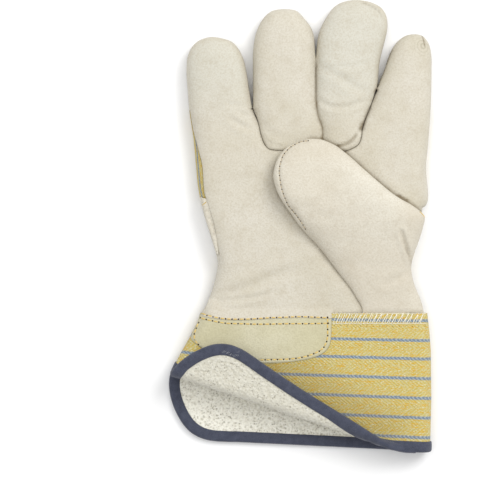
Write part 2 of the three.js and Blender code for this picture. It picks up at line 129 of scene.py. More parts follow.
# Edge of the middle and ring fingers' own front piece, sewn to the palm
ROOT_SEAM = [
    (-27.5, 67.9), (-24.6, 60.8), (-22.8, 53.2), (-20.5, 47.4), (-17.5, 44.6), (-8.8, 43.9),
    (8, 43.6), (25.2, 43.4), (29.3, 44.6), (33.9, 47.4), (35.7, 51.5), (36.3, 56.2), (38, 62),
    (40.9, 69), (44.9, 79.6),
]
# Left edge of the palm leather, inside the strip of canvas and strap that comes round from the back
LEATHER_EDGE = [
    (-64.4, 67.9), (-62.5, 56.2), (-59.4, 44.5), (-57.2, 35.5), (-56.5, 26.6), (-55.9, 19.4),
    (-54.8, 15.8), (-52.3, 7.7), (-50.5, 1.5), (-49.1, -5.3), (-48.3, -11.5), (-47.6, -16.9),
]
# Below this line the strip is the end of the knuckle strap
STRAP_END = [(-64, 17.6), (-60, 17.2), (-56, 16.2), (-50, 14.8)]
# Fold in that end
STRAP_FOLD = [(-54.8, 11.3), (-52.6, 5), (-51, 0.1), (-49.9, -5.3)]
# Rows of stitches that hold the palm to the cuff; the palm leather ends just below the upper one
HEM_UPPER = [
    (-57.9, -50.9), (-55.6, -51.8), (-49.7, -53.2), (-43.9, -54.1), (-35.1, -54.4), (-26.3, -54.1),
    (-17.6, -53.5), (-8.8, -53.2), (0, -52.9), (8.8, -53.2), (16, -53.5),
]
HEM_LOWER = [
    (-58.4, -53.6), (-55.6, -54.4), (-49.7, -55.6), (-43.9, -56.7), (-35.1, -57), (-23.4, -57.3),
    (-5.9, -57), (5.9, -57), (16.4, -56.7),
]
HEM_MARGIN = 0.6  # from the upper row to the leather's edge
HEM_RIGHT = 18.6  # where the leather ends and the thumb's begins
CANVAS_TUCK = -52.3  # end of the palm under the canvas, right of the hem

# Outline of the thumb from the cuff up its outer edge, round the tip and down to the cuff again
THUMB_OUTLINE = [
    (36.3, -56), (36.3, -49.7), (35.7, -46.8), (33.3, -42.7), (29.3, -36.3), (23.4, -28.7),
    (11.7, -13.5), (0, -0.6), (-5.9, 7.6), (-11.1, 15.2), (-14, 21.1), (-15.8, 28.1), (-15.2, 33.5),
    (-13.5, 38.6), (-9.9, 43.7), (-5.9, 46.8), (0, 49.3), (5.9, 50.5), (11.7, 50.2), (16.4, 48.6),
    (21.1, 46.2), (25.7, 42.7), (29.3, 39.8), (35.1, 34.5), (41, 29.3), (46.8, 24.3), (52.7, 19.5),
    (58.5, 15.6), (64.4, 12.4), (70.2, 8.2), (72.5, 5), (71.6, -1), (69.6, -8), (66.8, -16),
    (65, -23.5), (65.8, -30), (67.8, -36.5), (70.6, -43), (72.2, -49), (72.4, -56),
]
# Sections of the thumb from the cuff to the tip
THUMB_COLUMNS = ("left_x", "left_y", "right_x", "right_y", "bottom", "top")
THUMB = [
    (37, -57, 72.3, -57, 3, 15.3),
    (36.6, -52.5, 72.2, -52.5, 3, 15.6),
    (36, -49, 72, -49, 3, 18),
    (29, -37.5, 67.8, -36.5, 4, 19.5),
    (19.5, -22, 65, -23.5, 5, 21.5),
    (10, -10.5, 70, -7, 7, 25),
    (1, -1, 71.8, 4.5, 10.5, 28.5),
    (-6, 7.5, 60.5, 14.5, 15, 31),
    (-11, 15, 47, 24, 18.1, 32.5),
    (-14.5, 23.5, 35, 33.5, 18.4, 33),
    (-15, 33, 25.5, 41.5, 18.7, 33),
    (-13, 40, 18.5, 46.5, 19.6, 32),
    (-7, 46.5, 12, 50.5, 21.5, 30),
]
# Crook between the thumb's root and the wrist, on the glove's right edge
THUMB_NOTCH = [(61.5, -13), (63, -17), (64.6, -20.5), (66, -24)]

# Dorsal side: caps on the finger tips, the knuckle strap, and the gathers of the elastic
CAP_LENGTH = 42
CAP_PROUD = 0.9  # how far the leather stands off the canvas
CAP_HALF_WIDTH = 18.5
STRAP_PROUD = 1.2
STRAP_WIDTH = 33
STRAP_LOW = -14.5  # lower edge of the strap at x = 0
STRAP_SLOPE = 0.07
STRAP_CREASE_X = 8
PLEATS = 9
ELASTIC_Y = -43
GATHER_HALF_LENGTH = 16
GATHER_DEPTH = 2.4

# Stripes of the canvas: lengthwise on the hand, crosswise on the cuff
STRIPE_PITCH = 10.9
STRIPE_WIDTH = 1.7
FIRST_BACK_STRIPE = 4.0  # x of the middle of one stripe
FIRST_CUFF_STRIPE = -54.9  # y of the middle of one stripe

# The cuff: one sheet folded round the thumb side and slit at the little finger's side
CUFF_TOP_Y = -51
SLIT_Y = -74  # above this place the two sides are sewn together
SLIT_SPREAD = 12  # length over which they part below it
TAPE_TOP_Y = -80.7  # where the binding starts and ends
CUFF_BOTTOM_Z = 2.15
CUFF_TOP_Z = 16
CUFF_FOLD_R = (CUFF_TOP_Z - CUFF_BOTTOM_Z) / 2
# Edges of the cuff, as y and x
CUFF_RIGHT = [(-51, 73.6), (-61, 74.8), (-73, 75.7), (-100, 76), (-131, 75.3)]
CUFF_LEFT = [
    (-51, -57.4), (-57, -59.5), (-66.5, -64.4), (-74, -68.7), (-79.5, -71.7), (-83.5, -73.7),
    (-87.5, -75.2), (-91.5, -75.8), (-95.5, -75.7), (-99.5, -75.1), (-103.5, -74), (-107.5, -72.5),
    (-111.5, -70.5), (-115, -68.4), (-118.3, -65.8), (-121.2, -62.4), (-123.7, -57.7),
    (-125.3, -51), (-125.9, -41),
]
CUFF_LENGTH = 74.9  # at the slit
HEM_DROP = 5.4  # how much lower the hem hangs at the thumb side
STRIPE_DROP = 4  # the same for the stripes
# Beside this edge the canvas carries painted shade.
FLAP_EDGE = [(-30, -72.5), (46.8, -119.3)]  # edge of the turned-back corner, which shades the canvas
CANVAS = 0.9
LINING = 1.4
PLY_GAP = 0.15  # from the sheet's middle to either cloth
SIDE_CLOSE = 7  # width over which the two sides come together where they are sewn
GAP = 0.3  # least height of either side over the middle there

# The turned-back corner: it rolls about a slanting crease that starts at the left edge
CREASE_START = np.array([-71.5, -88])
ROLL_ALONG = np.array([113.5, -38]) / math.hypot(113.5, 38)
ROLL_OUT = np.array([ROLL_ALONG[1], -ROLL_ALONG[0]])
ROLL_R = 4.8
ROLL_END_R = 3.2  # radius at the end of the crease
ROLL_LENGTH = 122
ROLL_ANGLE = math.radians(172)

# The pulse patch on the cuff: y, left edge and right edge
PATCH = [
    (-52, -57.4, 18.4),
    (-57, -59.1, 18.4),
    (-60, -60.5, 18.3),
    (-63.5, -62.2, 18.2),
    (-66, -63, 18),
    (-68, -61.6, 17.7),
    (-70, -59.2, 17.1),
    (-72.5, -55.8, 15.4),
    (-75, -51, 12.2),
    (-77.2, -45, 6.4),
    (-78.4, -41, 0.6),
    (-79.5, -35, -8),
    (-80.2, -28, -20),
]
# Rows of stitches on the patch
PATCH_SEAMS = [
    [
        (15.9, -53.2), (16, -60), (15.7, -66.7), (12.9, -71.8),
        (7, -74.9), (1.8, -76.5), (-5.9, -77.6), (-24, -78.2),
    ],
    [(-59.3, -56.5), (-61, -60.4), (-62.1, -64.6), (-61.3, -67.2), (-59.4, -69.2)],
]
# The tape's section over the edge: distance past the cloth's edge, and distance from the sheet
TAPE_SECTION = [
    (-5.3, 0.9), (-5.25, 1.55), (-4.8, 1.85), (-2.6, 2.0), (-0.4, 2.0), (0.6, 1.6), (1.05, 0.7),
    (1.15, -0.3), (1.0, -1.2), (0.5, -2.0), (-0.5, -2.35), (-2.6, -2.35), (-4.8, -2.2),
    (-5.25, -1.9), (-5.3, -1.2),
]

# Seam of the thumb's two halves, inside its edge, and the end of its other seam at the palm's edge
THUMB_SEAM = [
    (4.5, 49.3), (2, 49.1), (-0.8, 48.4), (-3.4, 47.1), (-6, 45.4), (-8.1, 43.3), (-10.1, 40.8),
    (-10.9, 38.6), (-12, 34.7), (-12.4, 30.8), (-11.7, 25.7), (-10.5, 19.9), (-7, 11.7),
    (-4.1, 8.2), (0, 2.9), (2.9, -1.9),
]
THUMB_END = [(69.4, 8.2), (71.2, 6.6), (72.3, 5)]

# Folds at the root of the index finger and at its tip, and the pleat beside the second one
ROOT_FOLD = [(22, 46.6), (26.3, 47.4), (30.4, 50.3), (32.8, 53.2)]
TIP_FOLD = [(71.6, 111.6), (72.3, 108.6), (72.7, 106)]
TIP_PLEAT = [(71.5, 109.8), (72.3, 107.8), (72.7, 106)]
# Creases of the palm leather: the line, its depth and its half width
CREASES = [
    ([(-54, -44.8), (-44, -44), (-32, -42.5), (-20, -40), (-14, -37.5)], 0.9, 1.5),
    ([(-50, -42), (-36, -38), (-20, -31.5), (-8, -27), (4, -24)], 0.9, 3.0),
    ([(-36, 67), (-30, 63), (-26, 60)], 0.9, 1.6),
    ([(-40, 62), (-33, 58), (-25, 56)], 0.8, 1.8),
    ([(-42, 71), (-34, 70), (-28.5, 69)], 0.5, 1.4),
    ([(10.5, 93), (23.4, 86.6), (31, 81.3), (39.2, 77.8), (43, 76)], 0.6, 2.2),
    ([(10.5, 73.7), (17.6, 69.6), (27.5, 69.6), (35.1, 72), (41, 74)], 0.8, 1.5),
    ([(11.7, 90), (20, 92.6), (30, 93), (44, 96)], 0.35, 1.6),
    ([(-24, 62), (-18, 55), (-10, 51), (0, 49)], 0.3, 2.0),
    ([(58, 112), (69.5, 111), (72.8, 107.6)], 0.4, 1.0),
    (TIP_FOLD, 1.2, 0.5),
    ([(69.4, 106), (70.4, 104), (72.7, 103.2), (74.9, 104.3)], 0.5, 0.7),
    ([(36, 130.5), (41, 128.2), (45, 126.4), (47.6, 123.4), (49.6, 120)], 1.0, 0.7),
    ([(19.9, 46.2), (26.3, 47.4), (30.4, 50.3), (32.8, 53.2), (34.5, 55.5)], 1.5, 0.8),
    ([(-19.5, 50.5), (-16, 47.6), (-8.8, 46.3)], 0.5, 0.6),
    ([(16, -20), (28, -28), (33, -38), (34, -46)], 0.5, 3.0),
]
# Creases, gaps and edges darkened with painted brown shade, and the dark seam line at the middle finger's
# tip: the line, the strength and the half width
PAINTED_CREASE_SHADE = [
    ([(35, 131.2), (42, 128.4), (46.8, 124.8), (49.9, 120.2)], 0.5, 0.5),
    (ROOT_FOLD, 0.55, 0.7),
    ([(35, 56.6), (36, 59.4)], 0.6, 1.5),
    ([(35.5, 56.5), (36.6, 59), (38, 62), (41, 69.5)], 0.55, 1.1),
    ([(44.3, 78.6), (44.9, 80.5), (46, 83.5)], 0.9, 0.8),
    ([(46.6, 84.8), (49.1, 90.1), (51.5, 97.3), (54.2, 103)], 0.6, 0.6),
    ([(57.5, 17.4), (60.4, 15.5), (62.5, 14.7)], 1.1, 1.1),
    (TIP_FOLD, 0.9, 0.45),
]
# Lines that the front's mesh keeps to
FRONT_CUTS = [ROOT_SEAM, LEATHER_EDGE, RING_MIDDLE, STRAP_END, TIP_PLEAT, ROOT_FOLD]
# Ends of the stretch of the thumb's outline beside which a line of painted shade lies on the palm
THUMB_SHADE = [(16.4, 48.6), (68, 9.7)]
THUMB_CREASES = [
    ([(58.5, -3.5), (60.6, -10), (62.8, -16), (64.6, -20.5), (66.5, -25)], 2.4, 1.1),
    ([(50, -34), (58, -30), (65, -25)], 0.5, 2.2),
    ([(-2, 10), (8, 8), (20, 2)], 0.25, 3.0),
]

# Sewing: the usual pitch, and radii of the thread and of its needle holes
STITCH = 3.7
THREAD_R = 0.36
HOLE_R = 0.5
# Row on the cuff, from the palm's hem to the thumb side
WRIST_STITCHES = [(20, -58.2), (40, -58.4), (60, -58.5), (73, -58.6)]
# Short rows of small stitches at the ends of seams: the line, the pitch and the two radii
TACKS = [
    (THUMB_END, 0.9, 0.3, 0.15),
    ([(-57.4, 12), (-54.8, 14)], 0.9, 0.25, 0.2),
    ([(-49.6, -15.6), (-48.6, -14.8)], 1.2, 0.25, 0.2),
]
# The serged edge: spacing of its slanting threads, and its depth on the palm side and on the back
SERGE_PITCH = 1.5
SERGE_DEPTH = 6.0
SERGE_BACK_DEPTH = 5.0

# Leathers, each with its pale, warm and dark tone as they look on a screen
LEATHERS = {
    "palm_leather_grain": ((206, 201, 188), (198, 192, 175), (173, 162, 139)),
    "thumb_leather_grain": ((214, 209, 195), (206, 199, 183), (180, 169, 148)),
    "trim_leather_grain": ((200, 195, 182), (190, 184, 167), (166, 156, 136)),
    "patch_leather_grain": ((202, 197, 170), (192, 186, 152), (168, 160, 128)),
}
# The small folds round this place are painted: rings of painted shade in the leather's colour.
PUCKER_SHADE_CENTRE = (0.0727, 0.1056, 0.0155)  # middle of the small folds at the index finger's tip, in metres

# Floor, lights and camera, in metres; a lamp has its name, place, width and power
FLOOR_HALF = 6.0
SKY_STRENGTH = 0.66
LAMPS = [("key", (0.9, 0.9, 1.5), 0.9, 19), ("top", (-0.3, 0.2, 1.9), 1.6, 13)]
CAMERA_PLACE = (-0.02925, -0.01404, 1.6)
CAMERA_LENS = 195.4


def curve(points, step=EDGE_STEP, closed=False):
    """Points about a step apart along a smooth curve through the given ones."""
    given = np.array(points, float)
    if closed:
        given = np.vstack([given[-1:], given, given[:2]])
    else:
        given = np.vstack([2 * given[0] - given[1], given, 2 * given[-1] - given[-2]])
    place = run_of(given)
    slope = (given[2:] - given[:-2]) / (place[2:] - place[:-2])[:, None]
    out = []
    for i in range(1, len(given) - 2):
        length = place[i + 1] - place[i]
        count = max(1, round(length / step))
        t = (np.arange(count) / count)[:, None]
        out.append(
            (2 * t**3 - 3 * t**2 + 1) * given[i]
            + (t**3 - 2 * t**2 + t) * length * slope[i - 1]
            + (3 * t**2 - 2 * t**3) * given[i + 1]
            + (t**3 - t**2) * length * slope[i]
        )
    if not closed:
        out.append(given[-2][None])
    return np.vstack(out)


def unit(rows):
    """The same directions at length 1."""
    return rows / np.linalg.norm(rows, axis=-1, keepdims=True)


def run_of(line):
    """Distance along a line at each of its points."""
    return np.concatenate([[0], np.cumsum(np.linalg.norm(np.diff(line, axis=0), axis=1))])


def pairs(x, y):
    """Two grids of numbers as one list of places."""
    return np.column_stack([x.ravel(), y.ravel()])


def smoothstep(low, high, value):
    """0 at low, 1 at high, and a smooth step between them."""
    t = np.clip((value - low) / (high - low), 0, 1)
    return t * t * (3 - 2 * t)


def bell(gap, wide):
    """A soft ridge: 1 on a line, and next to nothing at twice its half width."""
    return np.exp(-((gap / wide) ** 2))


def inside(loop, points):
    """Which points lie inside a closed outline."""
    x, y = points[:, 0:1], points[:, 1:2]
    x0, y0 = loop[:, 0], loop[:, 1]
    x1, y1 = np.roll(x0, -1), np.roll(y0, -1)
    crosses = (y0 > y) != (y1 > y)
    rise = np.where(y1 == y0, 1e-12, y1 - y0)
    return (crosses & (x < x0 + (y - y0) * (x1 - x0) / rise)).sum(1) % 2 == 1


def inside_any(loops, points):
    """Which points lie inside at least one of the outlines."""
    found = np.zeros(len(points), bool)
    for loop in loops:
        found |= inside(loop, points)
    return found


def distance(line, points, closed=False):
    """Distance of each point in plan to a line of straight stretches."""
    start = line if closed else line[:-1]
    along = (np.roll(line, -1, axis=0) if closed else line[1:]) - start
    size = np.maximum((along**2).sum(1), 1e-12)
    nearest = np.full(len(points), np.inf)
    for first in range(0, len(points), 4000):
        part = points[first:first + 4000, None] - start
        t = np.clip((part * along).sum(2) / size, 0, 1)
        gap = part - t[:, :, None] * along
        nearest[first:first + 4000] = np.sqrt((gap**2).sum(2).min(1))
    return nearest


def gap_to(line, points):
    """Distance of each point in plan to the smooth curve through the given places."""
    return distance(curve(line), points)


def place_along(line, points):
    """Share of a line's length at the place nearest to each point."""
    along = np.diff(line, axis=0)
    length = np.linalg.norm(along, axis=1)
    start = run_of(line)
    part = points[:, None] - line[:-1]
    t = np.clip((part * along).sum(2) / np.maximum(length**2, 1e-12), 0, 1)
    gap = ((part - t[:, :, None] * along) ** 2).sum(2)
    best = gap.argmin(1)
    rows = np.arange(len(points))
    return (start[best] + t[rows, best] * length[best]) / start[-1]


def left_of(ahead):
    """Unit vectors in plan that point to the left of the given ones."""
    return unit(np.stack([-ahead[:, 1], ahead[:, 0]], 1))


def clearance(points, loops, lines):
    """Distance of each point to the nearest outline or line."""
    clear = np.full(len(points), np.inf)
    for loop in loops:
        clear = np.minimum(clear, distance(loop, points, closed=True))
    for line in lines:
        clear = np.minimum(clear, distance(line, points))
    return clear


def exposed(loop, loops):
    """Which points of an outline lie outside all the other outlines."""
    return ~inside_any([other for other in loops if other is not loop], loop)


def rows_beside(loops, lines):
    """Rows of points just inside the outlines and on both sides of the lines."""
    rows = []
    for loop in loops:
        normal = left_of(np.roll(loop, -1, axis=0) - np.roll(loop, 1, axis=0))
        area = (loop[:, 0] * np.roll(loop[:, 1], -1) - np.roll(loop[:, 0], -1) * loop[:, 1]).sum()
        outer = exposed(loop, loops)
        for step in RING_STEPS:
            ring = (loop + normal * np.sign(area) * step)[outer]
            rows.append(ring[clearance(ring, loops, lines) > KEEP_OFF * step])
    for line in lines:
        normal = left_of(np.gradient(line, axis=0))
        for step in LINE_STEPS:
            row = line + normal * step
            row = row[inside_any(loops, row)]
            rows.append(row[clearance(row, loops, lines) > KEEP_OFF * abs(step)])
    return rows


def free_points(loops, lines):
    """An even grid of points inside the outlines, clear of their rim and of the lines."""
    every = np.vstack(loops)
    low, high = every.min(0), every.max(0)
    rows = np.arange(low[1], high[1], GRID_STEP * math.sqrt(3) / 2)
    columns = np.arange(low[0], high[0], GRID_STEP)
    free = np.array([(x + (r % 2) * GRID_STEP / 2, y) for r, y in enumerate(rows) for x in columns])
    free = free[inside_any(loops, free)]
    for loop in loops:
        rim = loop[exposed(loop, loops)]
        near = np.sqrt(((free[:, None] - rim) ** 2).sum(2).min(1))
        free = free[near > RING_STEPS[-1] + CLEAR * GRID_STEP * 0.6]
    for line in lines:
        free = free[distance(line, free) > CLEAR * GRID_STEP]
    return free


def plan_mesh(loops, lines):
    """Points and triangles that fill the union of the loops in plan and keep to the lines."""
    places = []
    edges = []
    for loop in loops:
        start = len(places)
        buried = ~exposed(loop, loops)
        places += loop.tolist()
        for i in range(len(loop)):
            after = (i + 1) % len(loop)
            if not (buried[i] and buried[after]):
                edges.append((start + i, start + after))
    for line in lines:
        start = len(places)
        places += line.tolist()
        edges += [(start + i, start + i + 1) for i in range(len(line) - 1)]
    places += np.vstack(rows_beside(loops, lines) + [free_points(loops, lines)]).tolist()
    points, _, faces, *_ = delaunay_2d_cdt([Vector(p) for p in places], edges, [], 0, 1e-4)
    points = np.array([tuple(p) for p in points])
    faces = np.array(faces)
    faces = faces[inside_any(loops, points[faces].mean(1))]
    a, b, c = (points[faces[:, i]] for i in range(3))
    turn = (b[:, 0] - a[:, 0]) * (c[:, 1] - a[:, 1]) - (b[:, 1] - a[:, 1]) * (c[:, 0] - a[:, 0])
    faces[turn < 0] = faces[turn < 0][:, ::-1]
    return part_of(points, faces, np.abs(turn) > 1e-6)


def edge_points(faces, count):
    """Which points lie on the rim of a mesh of triangles."""
    pairs = np.sort(np.vstack([faces[:, [0, 1]], faces[:, [1, 2]], faces[:, [2, 0]]]), axis=1)
    found, times = np.unique(pairs, axis=0, return_counts=True)
    rim = np.zeros(count, bool)
    rim[found[times == 1].ravel()] = True
    return rim


def bulge(points, faces, held, values, span):
    """Height of a sheet that is held down at some points and swells towards 1 away from them."""
    count = len(points)
    starts, ends, weights = [], [], []
    for i in range(3):
        p, q, r = faces[:, i], faces[:, (i + 1) % 3], faces[:, (i + 2) % 3]
        u, v = points[p] - points[r], points[q] - points[r]
        twice = np.abs(u[:, 0] * v[:, 1] - u[:, 1] * v[:, 0])
        starts.append(p)
        ends.append(q)
        weights.append((u * v).sum(1) / twice / 2)
        area = twice / 2
    starts, ends, weights = np.concatenate(starts), np.concatenate(ends), np.concatenate(weights)
    mass = np.bincount(faces.ravel(), np.repeat(area / 3, 3), count) / span**2

    def pull(u):
        flow = weights * (u[starts] - u[ends])
        return np.bincount(starts, flow, count) - np.bincount(ends, flow, count) + mass * u

    height = np.where(held, values, 0.5)
    free = ~held
    rest = np.where(free, mass - pull(height), 0)
    stiff = np.bincount(starts, weights, count) + np.bincount(ends, weights, count) + mass
    ready = rest / stiff
    step = ready.copy()
    size = rest @ ready
    for _ in range(400):
        load = np.where(free, pull(step), 0)
        far = size / (step @ load)
        height += far * step
        rest -= far * load
        ready = rest / stiff
        new_size = rest @ ready
        if new_size < 1e-12 * count:
            break
        step = ready + new_size / size * step
        size = new_size
    return np.clip(height, 0, 1)


def puffed(points, faces, span, contacts=()):
    """Rise of a sheet that is sewn down at its rim, and held at its level where two fingers touch."""
    held = edge_points(faces, len(points)) & (points[:, 1] > WRIST_Y + 0.5)
    values = np.zeros(len(points))
    for line, level in contacts:
        on_line = (distance(line, points) < 0.3) & ~held
        values[on_line] = level * smoothstep(0, 1, place_along(line, points))[on_line]
        held |= on_line
    return bulge(points, faces, held, values, span)


def finger_loop(name):
    """Outline of a finger, with the thickness of the cap's leather added at its tip."""
    rows = np.array(FINGERS[name], float)
    loop = curve(np.vstack([rows[:, :2], rows[::-1, 2:]]), closed=True)
    ahead = np.roll(loop, -1, axis=0) - np.roll(loop, 1, axis=0)
    facing = np.abs(ahead[:, 0]) / np.linalg.norm(ahead, axis=1)
    loop[:, 1] += CAP_PROUD * smoothstep(0.1, 0.8, facing) * (loop[:, 1] > rows[-1, 1] - 25)
    return loop


def hand_loops():
    """Outlines of the hand and of each finger."""
    rows = [dict(zip(HAND_COLUMNS, row)) for row in HAND]
    left = curve([(row["left"], row["y"]) for row in rows])
    right = curve([(row["right"], row["y"]) for row in rows][::-1])
    bottom = np.linspace(left[-1], right[0], 100)[1:-1]
    top = np.linspace(right[-1], left[0], 100)[1:-1]
    return [np.vstack([left, bottom, right, top])] + [finger_loop(name) for name in FINGERS]


def thumb_loop():
    """Outline of the thumb in plan."""
    return curve(THUMB_OUTLINE, closed=True)


def hand_height(column, y):
    """A column of the hand's table at each y."""
    rows = np.array(HAND)[::-1]
    return np.interp(y, rows[:, 0], rows[:, HAND_COLUMNS.index(column)])


def lumps(points, size, seed=0.0):
    """Smooth random heights between about -1 and 1, with lumps of the given size."""
    return np.array([noise.noise(Vector((x / size, y / size, seed))) for x, y in points[:, :2]])


def crease_depth(creases, points):
    """Depth of the creases at each point, with a low ridge beside each, and less at their ends."""
    depth = np.zeros(len(points))
    for line, deep, wide in creases:
        path = curve(line)
        gap = distance(path, points)
        share = place_along(path, points)
        fade = np.sin(np.pi * np.clip(0.12 + 0.88 * share, 0, 1)) ** 0.6
        depth += deep * fade * (bell(gap, wide) - 0.35 * bell(gap - 2 * wide, wide))
    return depth


class Bundle:
    """Many small things joined into one mesh."""

    def __init__(self):
        self.points = []
        self.faces = []
        self.count = 0

    def add(self, points, faces):
        self.points.append(np.asarray(points, float))
        self.faces += [tuple(int(i) + self.count for i in face) for face in faces]
        self.count += len(points)

    def tube(self, line, radius, sides=6, flat=1.0):
        """A thread along a line, of one radius or one at each point, and flattened from above."""
        line = np.asarray(line, float)
        radius = np.broadcast_to(np.asarray(radius, float), len(line))
        ahead = unit(np.gradient(line, axis=0))
        side = unit(np.cross(ahead, UP))
        top = np.cross(side, ahead)
        turn = np.arange(sides) * 2 * np.pi / sides
        cos, sin = np.cos(turn)[:, None], np.sin(turn)[:, None]
        across = side[:, None] * cos + flat * top[:, None] * sin
        rings = (line[:, None] + radius[:, None, None] * across).reshape(-1, 3)
        faces = []
        for r in range(len(line) - 1):
            for i in range(sides):
                a, b = r * sides + i, r * sides + (i + 1) % sides
                faces.append((a, b, b + sides, a + sides))
        faces.append(tuple(range(sides))[::-1])
        faces.append(tuple(range((len(line) - 1) * sides, len(line) * sides)))
        self.add(rings, faces)

    def piece(self, name, surface, slot):
        return settle(make_piece(name, np.vstack(self.points), self.faces, surface), slot)


def make_piece(name, points, faces, surface, uv=None, marks=None):
    """A mesh in metres with its material, its places on the cloth in millimetres and its marks."""
    mesh = bpy.data.meshes.new(name)
    corners = [tuple(int(i) for i in face) for face in faces]
    mesh.from_pydata((np.asarray(points) * MM).tolist(), [], corners)
    mesh.validate()
    if uv is not None:
        corner = np.zeros(len(mesh.loops), int)
        mesh.loops.foreach_get("vertex_index", corner)
        layer = mesh.uv_layers.new(name="cloth")
        layer.data.foreach_set("uv", np.asarray(uv, np.float32)[corner].ravel())
    for mark, values in (marks or {}).items():
        attribute = mesh.attributes.new(mark, "FLOAT", "POINT")
        attribute.data.foreach_set("value", np.asarray(values, np.float32))
    mesh.shade_smooth()
    mesh.materials.append(surface)
    piece = bpy.data.objects.new(name, mesh)
    bpy.context.scene.collection.objects.link(piece)
    return piece


def thicken(piece, thickness, outward=False, shares=None):
    """Gives a sheet its thickness, or at each point the given share of it."""
    layer = piece.modifiers.new("thickness", "SOLIDIFY")
    layer.thickness = thickness * MM
    layer.offset = 1 if outward else -1
    layer.use_even_offset = False
    if shares is not None:
        group = piece.vertex_groups.new(name="thickness")
        for i, share in enumerate(shares):
            group.add([i], float(share), "REPLACE")
        layer.vertex_group = group.name
    return piece


def lip(level):
    """Shares of a thickness that runs out towards the side seam."""
    return 0.03 + 0.97 * smoothstep(0.3, 0.9, level)


def part_of(points, faces, chosen, *columns):
    """The chosen faces with only their own points, and the columns cut down in the same way."""
    faces = faces[chosen]
    used = np.unique(faces)
    renumber = np.full(len(points), -1)
    renumber[used] = np.arange(len(used))
    return (points[used], renumber[faces], *(column[used] for column in columns))


def settle(piece, slot, *nodes):
    """Hangs a finished piece on the body and hides the nodes that it stands for. The slot is not used."""
    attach(piece, BODY)
    if nodes:
        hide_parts(*nodes)
    return piece


class Ground:
    """Heights of finished pieces, seen from above or from below."""

    def __init__(self, pieces, side=1):
        bpy.context.view_layer.update()
        graph = bpy.context.evaluated_depsgraph_get()
        corners = []
        faces = []
        for piece in pieces:
            mesh = piece.evaluated_get(graph).to_mesh()
            first = len(corners)
            corners += [vertex.co / MM for vertex in mesh.vertices]
            faces += [[first + i for i in face.vertices] for face in mesh.polygons]
        self.tree = BVHTree.FromPolygons(corners, faces)
        self.side = side

    def height(self, x, y, missed=None):
        found = self.tree.ray_cast((x, y, 60 * self.side), (0, 0, -self.side))[0]
        return missed if found is None else found.z

    def lay(self, plan, lift, least, most=math.inf):
        """Places in plan laid on the surface, or None where it has a gap or a step of at least most."""
        levels = [self.height(x, y) for x, y in plan]
        if None in levels or max(levels) - min(levels) >= most:
            return None
        return np.column_stack([plan, np.maximum(np.array(levels) + self.side * lift, least)])


def spaced(line, pitch):
    """Places at even distances along a smooth line in plan."""
    path = curve(line, 0.3)
    run = run_of(path)
    at = np.linspace(0, run[-1], max(1, round(run[-1] / pitch)) + 1)
    return np.column_stack([np.interp(at, run, path[:, i]) for i in (0, 1)])


def sew(threads, holes, ground, line, pitch=STITCH, thick=THREAD_R, hole=HOLE_R, gap=0.16):
    """A row of stitches along a line in plan, with a needle hole between each two."""
    ends = spaced(line, pitch)
    lift = thick * np.array([-0.9, 0.4, 0.7, 0.4, -0.9])
    for start, end in zip(ends[:-1], ends[1:]):
        plan = start + (end - start) * np.linspace(gap, 1 - gap, 5)[:, None]
        places = ground.lay(plan, lift, thick, 4)
        if places is not None:
            threads.tube(places, thick * np.array([0.7, 1, 1, 1, 0.7]), flat=0.8)
    turn = np.arange(7) * 2 * np.pi / 7 * ground.side
    cone = [(i, (i + 1) % 7, 7) for i in range(7)] + [((i + 1) % 7, i, 8) for i in range(7)]
    for x, y in ends:
        ring = [(x + hole * math.cos(t), y + hole * math.sin(t)) for t in turn] + [(x, y)]
        rim = ground.lay(ring, 0.05, 0.01, 2)
        if rim is not None:
            holes.add(np.vstack([rim, (x, y, ground.height(x, y) - 0.3 * ground.side)]), cone)


def serge(threads, ground, left, right, deep):
    """Slanting threads and two running ones that bind the raw upper edge of the cuff's cloth."""
    top_y = CUFF_TOP_Y
    for i in range(int((right - left) / SERGE_PITCH)):
        x = left + SERGE_PITCH * i + 0.35 * math.sin(7.3 * i)
        lean = 2.9 + 0.9 * math.sin(3.1 * i)
        share = np.linspace(0, 1, 6)
        plan = [(x + lean * t, top_y - deep * (1 - t) + 0.15 * math.sin(5.7 * i + 2 * t)) for t in share]
        thick = 0.26 if i % 2 else 0.18
        places = ground.lay(plan, 0.22 + 0.12 * np.sin(np.pi * share), thick)
        if places is not None and plan[-1][0] <= right:
            threads.tube(places, thick, sides=5)
    for y, wave in ((top_y - 0.15, 0.22), (top_y - deep, 0.12)):
        x = np.arange(left, right, 0.45)
        plan = np.column_stack([x, y + wave * np.sin(2 * np.pi * x / 2.6)])
        on_cloth = np.array([ground.height(a, b) is not None for a, b in plan])
        lift = 0.2 + 0.1 * np.sin(2 * np.pi * x / 2.6 + 1)
        threads.tube(ground.lay(plan[on_cloth], lift[on_cloth], 0.2), 0.18, sides=5)


